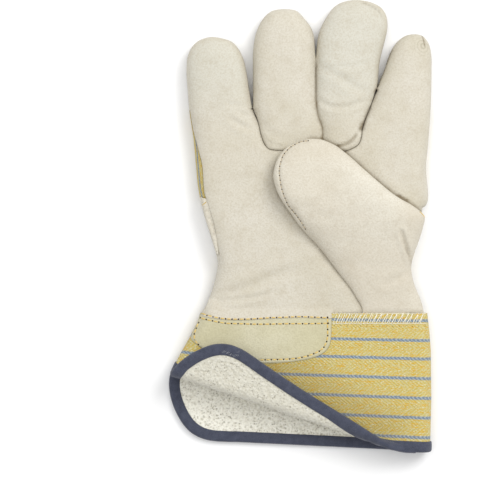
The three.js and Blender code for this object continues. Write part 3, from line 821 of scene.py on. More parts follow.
class Shader:
    """A material, with short names for the steps that its pattern is made of."""

    def __init__(self, name, **settings):
        self.material = bpy.data.materials.new(name)
        self.material.use_nodes = True
        self.tree = self.material.node_tree
        self.body = self.tree.nodes["Principled BSDF"]
        for socket, value in settings.items():
            self.body.inputs[socket.replace("_", " ")].default_value = value

    def node(self, kind, inputs=None, **settings):
        made = self.tree.nodes.new(kind)
        for name, value in settings.items():
            setattr(made, name, value)
        for name, value in (inputs or {}).items():
            self.set(made.inputs[name], value)
        return made

    def set(self, socket, value):
        if isinstance(value, bpy.types.NodeSocket):
            self.tree.links.new(value, socket)
        else:
            socket.default_value = value

    def math(self, operation, a, b=0.0, clamp=False):
        made = self.node("ShaderNodeMath", {0: a, 1: b}, operation=operation, use_clamp=clamp)
        return made.outputs[0]

    def times(self, a, b, clamp=False):
        return self.math("MULTIPLY", a, b, clamp)

    def plus(self, a, b):
        return self.math("ADD", a, b)

    def span(self, value, low, high, to_low=0.0, to_high=1.0):
        names = {"Value": value, "From Min": low, "From Max": high, "To Min": to_low, "To Max": to_high}
        return self.node("ShaderNodeMapRange", names).outputs[0]

    def wave(self, value, length):
        return self.math("SINE", self.times(value, 2 * math.pi / length))

    def mix(self, share, a, b):
        """Colour a, or b where the share is 1."""
        made = self.node("ShaderNodeMix", data_type="RGBA")
        self.set(made.inputs[0], share)
        self.set(made.inputs[6], a)
        self.set(made.inputs[7], b)
        return made.outputs[2]

    def noise(self, where, scale, detail=2.0, rough=0.5):
        names = {"Vector": where, "Scale": scale, "Detail": detail, "Roughness": rough}
        return self.node("ShaderNodeTexNoise", names).outputs["Fac"]

    def cells(self, where, scale, feature="F1"):
        names = {"Vector": where, "Scale": scale}
        return self.node("ShaderNodeTexVoronoi", names, feature=feature).outputs["Distance"]

    def stretch(self, where, scale, turn=0.0):
        names = {"Vector": where, "Scale": scale, "Rotation": (0, 0, turn)}
        return self.node("ShaderNodeMapping", names).outputs[0]

    def away(self, where, centre):
        made = self.node("ShaderNodeVectorMath", {0: where, 1: centre}, operation="DISTANCE")
        return made.outputs["Value"]

    def place(self):
        return self.node("ShaderNodeTexCoord").outputs["Object"]

    def cloth(self):
        return self.node("ShaderNodeUVMap", uv_map="cloth").outputs[0]

    def mark(self, name):
        return self.node("ShaderNodeAttribute", attribute_name=name).outputs["Fac"]

    def bump(self, height, strength, far):
        made = self.node("ShaderNodeBump", {"Height": height, "Strength": strength, "Distance": far})
        self.set(self.body.inputs["Normal"], made.outputs[0])

    def tint(self, colour, other, value, low, high, least=0.0, most=1.0):
        """A colour with more of another one in it as a pattern's value goes from low to high."""
        return self.mix(self.span(value, low, high, least, most), colour, other)

    def colour(self, value):
        self.set(self.body.inputs["Base Color"], value)

    def roughness(self, value, low, high):
        """Roughness between low and high as a pattern's value goes from 0.3 to 0.7."""
        self.set(self.body.inputs["Roughness"], self.span(value, 0.3, 0.7, low, high))


def srgb(red, green, blue):
    """A colour given as it looks on a screen, 0 to 255."""
    linear = [((c / 255 + 0.055) / 1.055) ** 2.4 if c > 10 else c / 255 / 12.92 for c in (red, green, blue)]
    return (*linear, 1.0)


def leather(name, pucker=None):
    """Grained cowhide: cloudy tint, fine grain, pores, dark seam lines with painted shade beside them and in
    creases and gaps, and rings of painted shade for small folds round a pucker.
    """
    pale, warm, dark = (srgb(*tone) for tone in LEATHERS[name])
    shader = Shader(name, Sheen_Weight=0.08, Specular_IOR_Level=0.32)
    where = shader.place()
    clouds = shader.noise(where, 26, 4.0, 0.55)
    blotches = shader.noise(where, 120, 5.0, 0.6)
    tint = shader.tint(pale, warm, clouds, 0.35, 0.65)
    tint = shader.mix(shader.times(shader.mark("cool"), 0.8), tint, srgb(202, 200, 188))
    tint = shader.tint(tint, dark, blotches, 0.5, 0.8, 0, 0.35)
    mottle = shader.noise(where, 1050, 3.0, 0.65)
    tint = shader.tint(tint, dark, mottle, 0.42, 0.66, 0.0, 0.42)
    pores = shader.cells(where, 1500)
    tint = shader.tint(tint, dark, pores, 0.0, 0.18, 0.22, 0.0)
    # The seam mark is partly dark seam lines and partly painted shade in creases, gaps and beside the thumb;
    # it mixes the colour towards dark brown.
    seam = shader.times(shader.mark("seam"), shader.span(blotches, 0.3, 0.7, 0.7, 1.0), clamp=True)
    seam = shader.math("POWER", seam, 1.3)
    # Painted shade of small folds: rings of darker colour round the pucker, with no folds in the mesh.
    if pucker is not None:
        far = shader.away(where, pucker)
        ripple_shade = shader.wave(far, 0.0019)
        folds = shader.times(shader.span(ripple_shade, 0, 1), shader.span(far, 0.002, 0.0075, 1.0, 0.0))
        folds = shader.times(folds, shader.span(blotches, 0.35, 0.55))
        tint = shader.mix(shader.times(folds, 0.7), tint, srgb(164, 158, 136))
    shader.colour(shader.mix(seam, tint, srgb(98, 80, 46)))
    grain = shader.cells(where, 1100, "SMOOTH_F1")
    wrinkles = shader.noise(where, 420, 6.0, 0.6)
    height = shader.plus(shader.times(grain, 0.55), wrinkles)
    shader.bump(height, 0.45, 0.0005)
    shader.roughness(blotches, 0.62, 0.74)
    return shader.material


def canvas(name, first_stripe):
    """Yellow herringbone cotton with blue heathered stripes, which run along u and are counted along v."""
    shader = Shader(name, Sheen_Weight=0.12, Specular_IOR_Level=0.2)
    where = shader.cloth()
    parts = shader.node("ShaderNodeSeparateXYZ", {0: where})
    along, across = parts.outputs[0], parts.outputs[1]
    wobble = shader.span(shader.noise(shader.stretch(where, (0.9, 0.4, 1)), 0.35, 2.0), 0, 1, -0.3, 0.3)
    ragged = shader.span(shader.noise(shader.stretch(where, (1.2, 3.0, 1)), 1.6, 2.0), 0, 1, -0.35, 0.35)
    shifted = shader.plus(shader.math("SUBTRACT", across, first_stripe), wobble)
    within = shader.math("PINGPONG", shifted, STRIPE_PITCH / 2)
    edge = shader.plus(within, ragged)
    stripe = shader.span(edge, STRIPE_WIDTH / 2 - 0.2, STRIPE_WIDTH / 2 + 0.2, 1.0, 0.0)
    zone = shader.math("PINGPONG", across, STRIPE_PITCH / 2)
    bent = shader.plus(along, shader.span(shader.noise(where, 0.5, 2.0), 0, 1, -0.8, 0.8))
    diagonal = shader.plus(bent, shader.times(zone, 1.2))
    rib = shader.wave(diagonal, 2.3)
    fine = shader.wave(across, 0.8)
    weave = shader.span(shader.plus(rib, shader.times(fine, 0.35)), -1.35, 1.35)
    heather = shader.noise(shader.stretch(where, (0.55, 2.0, 1)), 0.8, 5.0, 0.75)
    slubs = shader.noise(shader.stretch(where, (0.22, 1.3, 1)), 0.85, 3.0, 0.65)
    specks = shader.noise(shader.stretch(where, (0.8, 1.4, 1)), 1.1, 2.0, 0.6)
    worn = shader.noise(where, 0.45, 3.0, 0.6)
    plain = shader.times(shader.span(weave, 0.3, 0.7, 0.0, 0.75), shader.span(worn, 0.35, 0.6, 0.3, 1.0))
    straw, gold, bleached = srgb(202, 190, 123), srgb(190, 163, 60), srgb(198, 194, 156)
    amber, cream = srgb(205, 163, 50), srgb(222, 219, 190)
    slate, pale_blue, steel = srgb(108, 125, 145), srgb(172, 180, 180), srgb(116, 131, 148)
    ground = shader.tint(straw, gold, heather, 0.38, 0.62)
    ground = shader.mix(plain, ground, bleached)
    ground = shader.tint(ground, amber, slubs, 0.51, 0.61, 0.0, 0.85)
    ground = shader.tint(ground, cream, specks, 0.56, 0.68, 0.0, 0.8)
    blue = shader.tint(slate, pale_blue, rib, -0.8, 0.9)
    blue = shader.tint(blue, steel, heather, 0.42, 0.58, 0.0, 0.75)
    cloth = shader.mix(stripe, ground, blue)
    # The seam mark darkens the cloth: a dark line at the leather's edge on the side strip, painted shade
    # beside the cuff's turned-back corner, and darkening near the back's elastic.
    shader.colour(shader.mix(shader.mark("seam"), cloth, srgb(112, 90, 48)))
    shader.bump(shader.plus(weave, shader.times(heather, 0.8)), 0.8, 0.0004)
    shader.roughness(heather, 0.8, 0.95)
    return shader.material


def knit(name):
    """Looped cotton knit: soft fuzz, small holes between the loops, the mesh's own darker pits, and painted
    shade on the turned-back flap.
    """
    shader = Shader(name, Sheen_Weight=0.25, Specular_IOR_Level=0.15)
    where = shader.place()
    laid = shader.cloth()
    meshes = shader.node("ShaderNodeTexVoronoi", {"Vector": laid, "Scale": 0.78, "Randomness": 0.75})
    holes = shader.span(meshes.outputs["Distance"], 0.12, 0.42, 1.0, 0.0)
    holes = shader.times(holes, shader.span(shader.noise(laid, 0.35, 3.0, 0.6), 0.4, 0.6, 0.1, 0.8))
    fuzz = shader.noise(where, 800, 6.0, 0.75)
    loops = shader.cells(where, 620)
    tone = shader.tint(srgb(238, 235, 220), srgb(252, 250, 240), fuzz, 0.35, 0.65)
    tone = shader.tint(tone, srgb(200, 193, 172), loops, 0.45, 0.85, 0.0, 0.3)
    # This mark holds the mesh's pits and painted shade on the turned-back flap.
    pits = shader.span(shader.mark("pits_and_flap_shade"), 0.05, 0.75, 0.0, 0.72)
    tone = shader.mix(pits, tone, srgb(132, 125, 98))
    shader.colour(shader.mix(shader.times(holes, 0.72), tone, srgb(118, 102, 72)))
    shader.bump(shader.math("SUBTRACT", shader.math("SUBTRACT", fuzz, loops), holes), 0.8, 0.0007)
    shader.roughness(fuzz, 0.85, 1.0)
    return shader.material


def twill_tape(name):
    """Navy cotton tape with fine diagonal ribs and a little lint."""
    shader = Shader(name, Sheen_Weight=0.15, Specular_IOR_Level=0.25)
    where = shader.cloth()
    parts = shader.node("ShaderNodeSeparateXYZ", {0: where})
    rib = shader.span(shader.wave(shader.plus(parts.outputs[0], parts.outputs[1]), 0.7), -1, 1)
    worn = shader.noise(where, 0.25, 5.0, 0.65)
    lint = shader.noise(shader.stretch(where, (0.7, 2.0, 1)), 2.6, 3.0, 0.6)
    tone = shader.tint(srgb(50, 54, 70), srgb(72, 76, 92), worn, 0.35, 0.7)
    tone = shader.tint(tone, srgb(98, 102, 118), rib, 0.3, 1.0, 0.0, 0.3)
    shader.colour(shader.tint(tone, srgb(142, 146, 158), lint, 0.56, 0.8, 0.0, 0.6))
    shader.bump(shader.plus(rib, worn), 0.5, 0.00025)
    shader.roughness(worn, 0.75, 0.92)
    return shader.material


def thread(name, pale, deep):
    """Twisted sewing thread."""
    shader = Shader(name, Specular_IOR_Level=0.35)
    where = shader.place()
    twist = shader.noise(where, 1800, 3.0, 0.6)
    shader.colour(shader.tint(pale, deep, twist, 0.35, 0.65))
    shader.bump(twist, 0.4, 0.0002)
    shader.roughness(twist, 0.5, 0.7)
    return shader.material


def needle_hole_shade(name):
    """Painted shade inside a needle hole, in dark brown."""
    shader = Shader(name, Specular_IOR_Level=0.1)
    depth = shader.noise(shader.place(), 900, 2.0)
    shader.colour(shader.tint(srgb(58, 40, 20), srgb(88, 64, 36), depth, 0.3, 0.7))
    shader.roughness(depth, 0.85, 0.95)
    return shader.material


def table_top(name):
    """Matt near-white table."""
    shader = Shader(name, Specular_IOR_Level=0.1)
    cloud = shader.noise(shader.place(), 3.0, 2.0)
    shader.colour(shader.mix(cloud, srgb(243, 243, 243), srgb(246, 246, 246)))
    shader.roughness(cloud, 0.85, 0.9)
    return shader.material


def nearest(line, place):
    """Number of the line's point nearest to a place."""
    return int(np.hypot(*(line - np.array(place)).T).argmin())


def contact_lines():
    """Lines where two fingers touch, from the tips to the palm, each with its level at the palm's end."""
    seam = curve(ROOT_SEAM)
    left = seam[:nearest(seam, PINKY_RING_END) + 1]
    right = seam[nearest(seam, MIDDLE_INDEX_END):][::-1]
    return [(curve(RING_MIDDLE), 0.3), (left, 0.5), (right, 0.5)]


def hem_line():
    """Lower edge of the palm leather: over the cuff, then tucked under the canvas."""
    row = curve(HEM_UPPER) - [0, HEM_MARGIN]
    row = row[row[:, 0] < HEM_RIGHT - 0.8]
    ends = [(-64, row[0][1] + 1.5)], [(HEM_RIGHT, row[-1][1]), (HEM_RIGHT, CANVAS_TUCK), (80, CANVAS_TUCK)]
    return np.vstack([ends[0], row, ends[1]])


def dense(line, step):
    """The same straight stretches with points no further than a step apart."""
    out = [line[:1]]
    for start, end in zip(line[:-1], line[1:]):
        count = max(1, math.ceil(np.linalg.norm(end - start) / step))
        out.append(start + (end - start) * (np.arange(1, count + 1) / count)[:, None])
    return np.vstack(out)


def solve_front():
    """Mesh of the hand's front and how far each point has risen from the seam."""
    cuts = [curve(line) for line in FRONT_CUTS]
    outline = thumb_loop()
    far = outline[nearest(outline, THUMB_SHADE[0]):nearest(outline, THUMB_SHADE[1])]
    cuts += [dense(hem_line(), EDGE_STEP), far]
    points, faces = plan_mesh(hand_loops(), cuts)
    return points, faces, puffed(points, faces, SPAN, contact_lines())


def front_height(points, rise):
    """The front swollen from the side seam to its top, with its creases, lumps and the dent by the thumb."""
    top = hand_height("top", points[:, 1])
    height = SEAM_Z + (top - SEAM_Z) * np.sqrt(rise)
    swell = smoothstep(0.1, 0.6, rise)
    height -= swell * crease_depth(CREASES, points)
    height += swell * (0.45 * lumps(points, 26) + 0.2 * lumps(points, 9, 3.0))
    height -= swell * 0.9 * bell(gap_to(ROOT_SEAM, points), 0.5)
    beside = distance(thumb_loop(), points, closed=True)
    height -= 1.2 * bell(beside, 4) * smoothstep(5, -20, points[:, 1])
    return height


def front_seams_and_shade(points):
    """How far the leather is mixed to dark brown: a dark line on its root seam, and painted shade beside
    that seam, in its creases, in the gaps between the fingers and beside the thumb.
    """
    # A dark line on the seam itself, and a wider band of painted shade beside it.
    gap = gap_to(ROOT_SEAM, points)
    brown = 0.55 * bell(gap, 0.4) + 0.1 * bell(gap, 1.6)
    # Painted shade in the gap where the ring and middle fingers touch.
    between = distance(contact_lines()[0][0], points)
    brown += 0.95 * bell(between, 0.6) * smoothstep(100, 92, points[:, 1])
    for crease, dark, wide in PAINTED_CREASE_SHADE:
        brown += dark * bell(gap_to(crease, points), wide)
    # Painted shade on the palm beside the thumb: a dark line along its upper edge and a soft band along its
    # lower edge.
    beside = distance(thumb_loop(), points, closed=True)
    side = points[:, 1] + 0.78 * points[:, 0] - 44
    brown += 0.9 * bell(beside, 1.7) * smoothstep(6, 16, side) * (points[:, 1] > 8)
    brown += (0.35 * bell(beside, 1.0) + 0.16 * bell(beside, 4.5)) * smoothstep(0, -20, side)
    return np.clip(brown, 0, 1)


def front_cool(points):
    """How pale and cool the leather is: more towards the tips of the little and middle fingers."""
    cool = np.zeros(len(points))
    for name in ("pinky", "middle"):
        finger = finger_loop(name)
        cool += inside(finger, points) * smoothstep(0, 4, distance(finger, points, closed=True))
    return np.clip(cool, 0, 1) * smoothstep(50, 92, points[:, 1])


def front_areas(centre):
    """Which faces of the front, given by their middles, belong to which piece."""
    seam = curve(ROOT_SEAM)
    fingers = inside(np.vstack([seam, [(60, 140), (-27.5, 140)]]), centre)
    edge = curve(LEATHER_EDGE)
    strip = inside(np.vstack([edge, [(-90, edge[-1][1]), (-90, edge[0][1])]]), centre)
    end = strip & (centre[:, 1] < np.interp(centre[:, 0], *np.array(STRAP_END).T))
    thumb = thumb_loop()
    root = inside(thumb, centre) & (distance(thumb, centre, closed=True) > 5) & (centre[:, 1] < 2)
    tucked = inside(np.vstack([hem_line(), [(80, -70), (-64, -70)]]), centre)
    return {
        "palm_leather": ~fingers & ~strip & ~root & ~tucked,
        "middle_fingers_front": fingers,
        "side_canvas": strip & ~end,
        "strap_end": end,
    }


def lay_over_cuff(points, height, cuff):
    """Lays the lower edge of the palm leather over the top of the cuff."""
    x, y = points[:, 0].copy(), points[:, 1]
    # The lower left corner reaches a little further out
    x -= 1.9 * smoothstep(-46, -52, y) * smoothstep(-40, -56, x)
    seated = np.full(len(x), -100.0)
    inner = points[:, 0] > hand_height("left", y) + 0.12
    for i in np.flatnonzero((y < -43) & (x < HEM_RIGHT + 0.05) & inner):
        below = cuff.height(x[i], min(y[i], CUFF_TOP_Y - 0.3), CUFF_BOTTOM_Z + CUFF_FOLD_R + 1.4)
        seated[i] = below + 0.35 - 0.5 * max(0, y[i] - CUFF_TOP_Y + 0.2)
    return np.column_stack([x, y]), np.maximum(height, seated)


def make_side_canvas(part, cloth):
    """The strip of the back's canvas that comes round the little finger's side."""
    own, triangles, at_edge = part
    across = own[:, 0] - hand_height("left", own[:, 1]) + own[:, 2] - SEAM_Z - 5 + FIRST_BACK_STRIPE
    marks = {"seam": 0.5 * bell(at_edge, 0.35)}
    piece = make_piece("side_canvas", own, triangles, cloth, np.column_stack([own[:, 1], across]), marks)
    return settle(thicken(piece, SIDE_CLOTH), "striped_canvas")


def make_strap_end(part, surface):
    """The end of the knuckle strap below that strip, with a fold near its inner edge."""
    own, triangles, at_edge = part
    fold = gap_to(STRAP_FOLD, own[:, :2])
    own[:, 2] -= 0.1 + 0.5 * bell(fold, 0.5)
    inward = own[:, 0] - hand_height("left", own[:, 1])
    own[:, 2] += 3.0 * bell(inward, 1.8) * smoothstep(0.05, 0.6, inward)
    # The seam mark: a dark line at the leather's edge, and painted shade in the fold.
    marks = {"seam": 0.2 * bell(at_edge, 0.35) + 0.12 * bell(fold, 0.4)}
    piece = make_piece("strap_end", own, triangles, surface, marks=marks)
    return settle(thicken(piece, STRAP_LEATHER), "palm_hide")


def make_front(surface, cloth, strap, cuff):
    """Leather of the palm and fingers, and the canvas and strap at the little finger's side."""
    points, faces, rise = solve_front()
    areas = front_areas(points[faces].mean(1))
    spots, height = lay_over_cuff(points, front_height(points, rise), cuff)
    solid = np.column_stack([spots, height])
    # The seam mark on the leather holds dark seam lines and painted shade.
    brown, cool = front_seams_and_shade(points), front_cool(points)
    made = []
    for name in ("palm_leather", "middle_fingers_front"):
        own, triangles, seam, pale = part_of(solid, faces, areas[name], brown, cool)
        piece = make_piece(name + "_skin", own, triangles, surface, marks={"seam": seam, "cool": pale})
        made.append(settle(thicken(piece, LEATHER), "palm_hide", name))
    at_edge = gap_to(LEATHER_EDGE, points)
    made.append(make_side_canvas(part_of(solid - [0, 0, 0.5], faces, areas["side_canvas"], at_edge), cloth))
    made.append(make_strap_end(part_of(solid, faces, areas["strap_end"], at_edge), strap))
    return made


def thumb_place(points):
    """Place along the thumb, counted in rows of its table."""
    rows = np.array(THUMB, float)
    past = []
    for row in rows:
        ahead = row[2:4] - row[0:2]
        part = points - row[0:2]
        past.append((ahead[0] * part[:, 1] - ahead[1] * part[:, 0]) / np.linalg.norm(ahead))
    past = np.array(past)
    place = np.zeros(len(points))
    for i in range(len(rows) - 1):
        between = (past[i] >= 0) & (past[i + 1] < 0)
        place[between] = i + past[i][between] / (past[i] - past[i + 1])[between]
    place[past[-1] >= 0] = len(rows) - 1
    return place


def thumb_section(points):
    """The columns of the thumb's table at each point, by name."""
    rows = np.array(THUMB, float)
    place = thumb_place(points)
    columns = (np.interp(place, np.arange(len(rows)), column) for column in rows.T)
    return dict(zip(THUMB_COLUMNS, columns))


def thumb_height(points, rise):
    """Heights of the thumb's upper and lower half."""
    at = thumb_section(points)
    middle = (at["bottom"] + at["top"]) / 2
    left = np.stack([at["left_x"], at["left_y"]], 1)
    reach = np.stack([at["right_x"], at["right_y"]], 1) - left
    across = ((points - left) * reach).sum(1) / (reach**2).sum(1)
    palm = hand_height("top", points[:, 1]) - 0.9
    rim = middle + np.maximum(palm - middle, 0) * smoothstep(0.6, 0.2, across)
    swell = smoothstep(0.3, 0.8, rise)
    upper = rim + (at["top"] - rim) * rise
    upper -= swell * crease_depth(THUMB_CREASES, points)
    upper -= 0.7 * bell(gap_to(THUMB_SEAM, points), 0.45) * smoothstep(0.05, 0.3, rise)
    upper += swell * (0.4 * lumps(points, 24, 7.0) + 0.15 * lumps(points, 8, 9.0))
    lower = middle - (middle - at["bottom"]) * np.minimum(1.15 * rise, 1)
    return upper, np.maximum(lower, np.minimum(SEAM_Z + 0.3, middle))


def make_thumb(surface):
    """The two halves of the thumb, folded over the palm. Returns the one on top."""
    points, faces = plan_mesh([thumb_loop()], [curve(THUMB_SEAM[1:-1])])
    rise = np.sqrt(puffed(points, faces, THUMB_SPAN))
    upper, lower = thumb_height(points, rise)
    # The seam mark: painted shade along the rim and in the crook at the root, a little darker towards the
    # wrist, and the dark line of the thumb's seam.
    brown = 0.1 * bell(rise, 0.12) + 0.08 * smoothstep(10, -30, points[:, 1])
    brown += 0.45 * bell(gap_to(THUMB_SEAM, points), 0.4) + 0.35 * bell(gap_to(THUMB_NOTCH, points), 0.8)
    marks = {"seam": np.clip(brown, 0, 1)}
    made = []
    for side, height, triangles in (("front", upper, faces), ("back", lower, faces[:, ::-1])):
        half = np.column_stack([points, height])
        piece = make_piece(f"thumb_{side}_skin", half, triangles, surface, marks=marks)
        made.append(settle(thicken(piece, THUMB_LEATHER), "palm_hide", f"thumb_{side}"))
    return made[0]


def strap_low(x):
    """The y of the strap's lower edge."""
    return STRAP_LOW + STRAP_SLOPE * x


def cap_edge(name):
    """The y where a finger's cap starts."""
    return max(row[1] for row in FINGERS[name]) - CAP_LENGTH


def solve_back():
    """Mesh of the back, which keeps to the edges of the strap and the caps, and how far it has risen."""
    contacts = [line for line, _ in contact_lines()]
    strap_x = np.linspace(-80, 80, 120)
    cuts = contacts + [np.column_stack([strap_x, strap_low(strap_x) + up]) for up in (0, STRAP_WIDTH)]
    for name, rows in FINGERS.items():
        edge = cap_edge(name)
        middle = np.mean([(row[0] + row[2]) / 2 for row in rows if abs(row[1] - edge) < 15])
        x = np.linspace(middle - CAP_HALF_WIDTH, middle + CAP_HALF_WIDTH, 30)
        cuts.append(np.column_stack([x, np.full(30, edge)]))
    points, faces = plan_mesh(hand_loops(), cuts)
    held = [(line, BACK_CONTACT) for line in contacts]
    return points, faces, np.sqrt(puffed(points, faces, BACK_SPAN, held))


def gathers(points):
    """How near each point is to the elastic, and its height on the large and on the small folds there."""
    left = hand_height("left", points[:, 1])
    share = (points[:, 0] - left) / (hand_height("right", points[:, 1]) - left)
    near = np.maximum(0, 1 - np.abs(points[:, 1] - ELASTIC_Y) / GATHER_HALF_LENGTH)
    folds = near * (1 - np.cos(2 * np.pi * PLEATS * share)) / 2
    small = near * (1 - np.cos(2 * np.pi * 3.3 * PLEATS * share + 4 * lumps(points, 11, 5.0))) / 2
    return near, folds, small


def make_back(hide, cloth):
    """The dorsal side: leather finger caps, the knuckle strap, and the canvas with its gathers."""
    points, faces, rise = solve_back()
    near, folds, small = gathers(points)
    flat = 1 - np.clip(1 - 1.12 * rise, 0, 1) ** 1.5
    bottom = hand_height("bottom", points[:, 1])
    height = SEAM_Z - (SEAM_Z - bottom) * flat + flat * (GATHER_DEPTH * folds + 0.7 * small)
    height += flat * 0.3 * np.abs(lumps(points, 15, 11.0))
    solid = np.column_stack([points, height])
    faces = faces[:, ::-1]
    centre = points[faces].mean(1)
    in_cap = np.zeros(len(faces), bool)
    made = []
    for name in FINGERS:
        chosen = inside(finger_loop(name), centre) & (centre[:, 1] > cap_edge(name)) & ~in_cap
        in_cap |= chosen
        own, triangles, level = part_of(solid, faces, chosen, rise)
        cap = thicken(make_piece(name + "_cap", own, triangles, hide), CAP_PROUD, True, lip(level))
        made.append(settle(cap, "trim_hide", name + "_tip_cap"))
    above = centre[:, 1] - strap_low(centre[:, 0])
    dent = 0.8 * bell(points[:, 0] - STRAP_CREASE_X - 0.1 * points[:, 1], 1.6)
    dented = solid + np.outer(dent * flat, UP)
    own, triangles, level = part_of(dented, faces, (above > 0) & (above < STRAP_WIDTH), rise)
    strap = thicken(make_piece("strap_hide", own, triangles, hide), STRAP_PROUD, True, lip(level))
    made.append(settle(strap, "trim_hide", "knuckle_strap"))
    round_side = np.clip(points[:, 0] / 25, -1, 1) * (SEAM_Z - bottom) * (1 - flat)
    across = points[:, 0] * (1 + 0.25 * near) + round_side + 0.8 * lumps(points, 30, 2.0)
    uv = np.column_stack([points[:, 1], across])
    # The seam mark here darkens the cloth near the elastic, most where its folds are least raised.
    own, triangles, places, dark = part_of(solid, faces, ~in_cap, uv, 0.5 * near * (1 - folds) ** 2)
    piece = make_piece("back_cloth", own, triangles, cloth, places, {"seam": dark})
    made.append(settle(thicken(piece, BACK_CLOTH), "striped_canvas", "back_canvas"))
    return made


def along_rows(rows, y):
    """The x at each y in a table of (y, x) rows that run down."""
    table = np.array(rows, float)[::-1]
    return np.interp(y, table[:, 0], table[:, 1])


def roll_back(x, y, z):
    """Wraps what lies past the crease round a cylinder above the cuff, and lays the rest back over it."""
    part = np.stack([x, y], -1) - CREASE_START
    along = part @ ROLL_ALONG
    radius = ROLL_R + (ROLL_END_R - ROLL_R) * smoothstep(ROLL_LENGTH / 2, ROLL_LENGTH, along)
    past = part @ ROLL_OUT + radius + PLY_GAP + LINING
    turn = np.clip(past / radius, 0, ROLL_ANGLE)
    rest = np.maximum(past, 0) - turn * radius
    out = radius * np.sin(turn) + rest * np.cos(turn)
    up = radius * (1 - np.cos(turn)) + rest * np.sin(turn)
    move = np.where(past > 0, out - past, 0)
    return x + ROLL_OUT[0] * move, y + ROLL_OUT[1] * move, z + np.where(past > 0, up, 0)


def cuff_point(s, y):
    """A point of the cuff: s runs along the folded sheet, 0 in the fold and positive on the palm side."""
    s, y = np.broadcast_arrays(np.asarray(s, float), np.asarray(y, float))
    arc = math.pi * CUFF_FOLD_R / 2
    right = along_rows(CUFF_RIGHT, y) - CUFF_FOLD_R
    turn = np.clip(s, -arc, arc) / CUFF_FOLD_R
    past = np.maximum(np.abs(s) - arc, 0)
    x = right + CUFF_FOLD_R * np.cos(turn) - past
    z = CUFF_BOTTOM_Z + CUFF_FOLD_R + CUFF_FOLD_R * np.sin(turn)
    curl = 1 - np.clip((x - along_rows(CUFF_LEFT, y)) / SIDE_CLOSE, 0, 1)
    close = smoothstep(SLIT_Y - SLIT_SPREAD, SLIT_Y, y)
    z = z - np.sign(s) * close * (CUFF_FOLD_R - GAP) * curl**2
    rolled = roll_back(x, y, z)
    palm = s > arc
    return np.stack([np.where(palm, over, under) for over, under in zip(rolled, (x, y, z))], -1)


def cuff_offset(s, y, out):
    """A point at a distance from the cuff's sheet, away from the glove's hollow."""
    step = 0.15
    along = cuff_point(s + step, y) - cuff_point(s - step, y)
    down = cuff_point(s, y - step) - cuff_point(s, y + step)
    return cuff_point(s, y) + unit(np.cross(along, down)) * np.asarray(out)[..., None]


def cuff_place(x, y):
    """The s of a place on the palm side of the cuff."""
    return math.pi * CUFF_FOLD_R / 2 + along_rows(CUFF_RIGHT, y) - CUFF_FOLD_R - x


def slope_hem(s, y, most=HEM_DROP):
    """Lowers the sheet's rows towards the thumb side, where the hem hangs lower."""
    x = along_rows(CUFF_RIGHT, y) - np.abs(s)
    drop = most * np.clip((x + 41) / 110, 0, 1)
    return y - drop * (CUFF_TOP_Y - y) / CUFF_LENGTH


def cuff_places(top_y, row_step, column_step):
    """Places (s, y) on the cuff in rows that follow its left edge."""
    edge = curve([(y, x) for y, x in CUFF_LEFT], row_step)
    edge = edge[edge[:, 0] <= top_y]
    full = cuff_place(edge[:, 1], edge[:, 0])
    share = np.linspace(-1, 1, int(2 * full.max() / column_step))
    s = full[:, None] * share
    y = np.broadcast_to(edge[:, 0:1], s.shape)
    return s, slope_hem(s, y)


def grid_faces(rows, columns):
    """Squares between the points of a grid."""
    index = np.arange(rows * columns).reshape(rows, columns)
    return np.stack([index[:-1, :-1], index[:-1, 1:], index[1:, 1:], index[1:, :-1]], -1).reshape(-1, 4)


def lay_flat(piece):
    """Returns the piece as it is."""
    return piece


def make_cuff_canvas(cloth):
    """The outer sheet of the cuff, with painted shade beside the turned-back corner."""
    s, y = cuff_places(CUFF_TOP_Y, 1.0, 1.1)
    points = cuff_offset(s, y, np.full(s.shape, PLY_GAP + CANVAS)).reshape(-1, 3)
    points[:, 2] += 0.18 * lumps(pairs(s, y), 19, 4.0)
    x = along_rows(CUFF_RIGHT, y) - np.abs(s)
    raised = 0.014 * (60 - x) - 0.23 + 0.83 * smoothstep(-66.5, -74, y)
    unsloped = y + (y - slope_hem(s, y, STRIPE_DROP)) - raised
    # Painted shade on the palm side beside the turned-back corner, carried by the seam mark.
    marks = {"seam": 0.28 * bell(distance(np.array(FLAP_EDGE), pairs(x, y)), 14) * (s.ravel() > 0)}
    piece = make_piece("cuff_cloth", points, grid_faces(*s.shape), cloth, pairs(s, unsloped), marks)
    settle(thicken(piece, CANVAS), "striped_canvas", "cuff_canvas")
    return lay_flat(piece)


def pits_at(s, y, size, seed):
    """Depth of the pits between knit loops: one per cell of a jittered grid, of random depth."""
    cell_x, cell_y = np.floor(s / size), np.floor(y / size)
    depth = np.zeros(s.shape)
    for i in (-1, 0, 1):
        for j in (-1, 0, 1):
            a, b = cell_x + i, cell_y + j
            shake = np.sin(a * 127.1 + b * 311.7 + seed) * 43758.5453 % 1
            other = np.sin(a * 269.5 + b * 183.3 + seed) * 28001.8384 % 1
            far = np.hypot(s - (a + 0.1 + 0.8 * shake) * size, y - (b + 0.1 + 0.8 * other) * size)
            strength = 0.25 + 0.75 * ((shake * 7 + other * 5) % 1.0)
            depth = np.maximum(depth, strength * bell(far, 0.26 * size))
    return depth


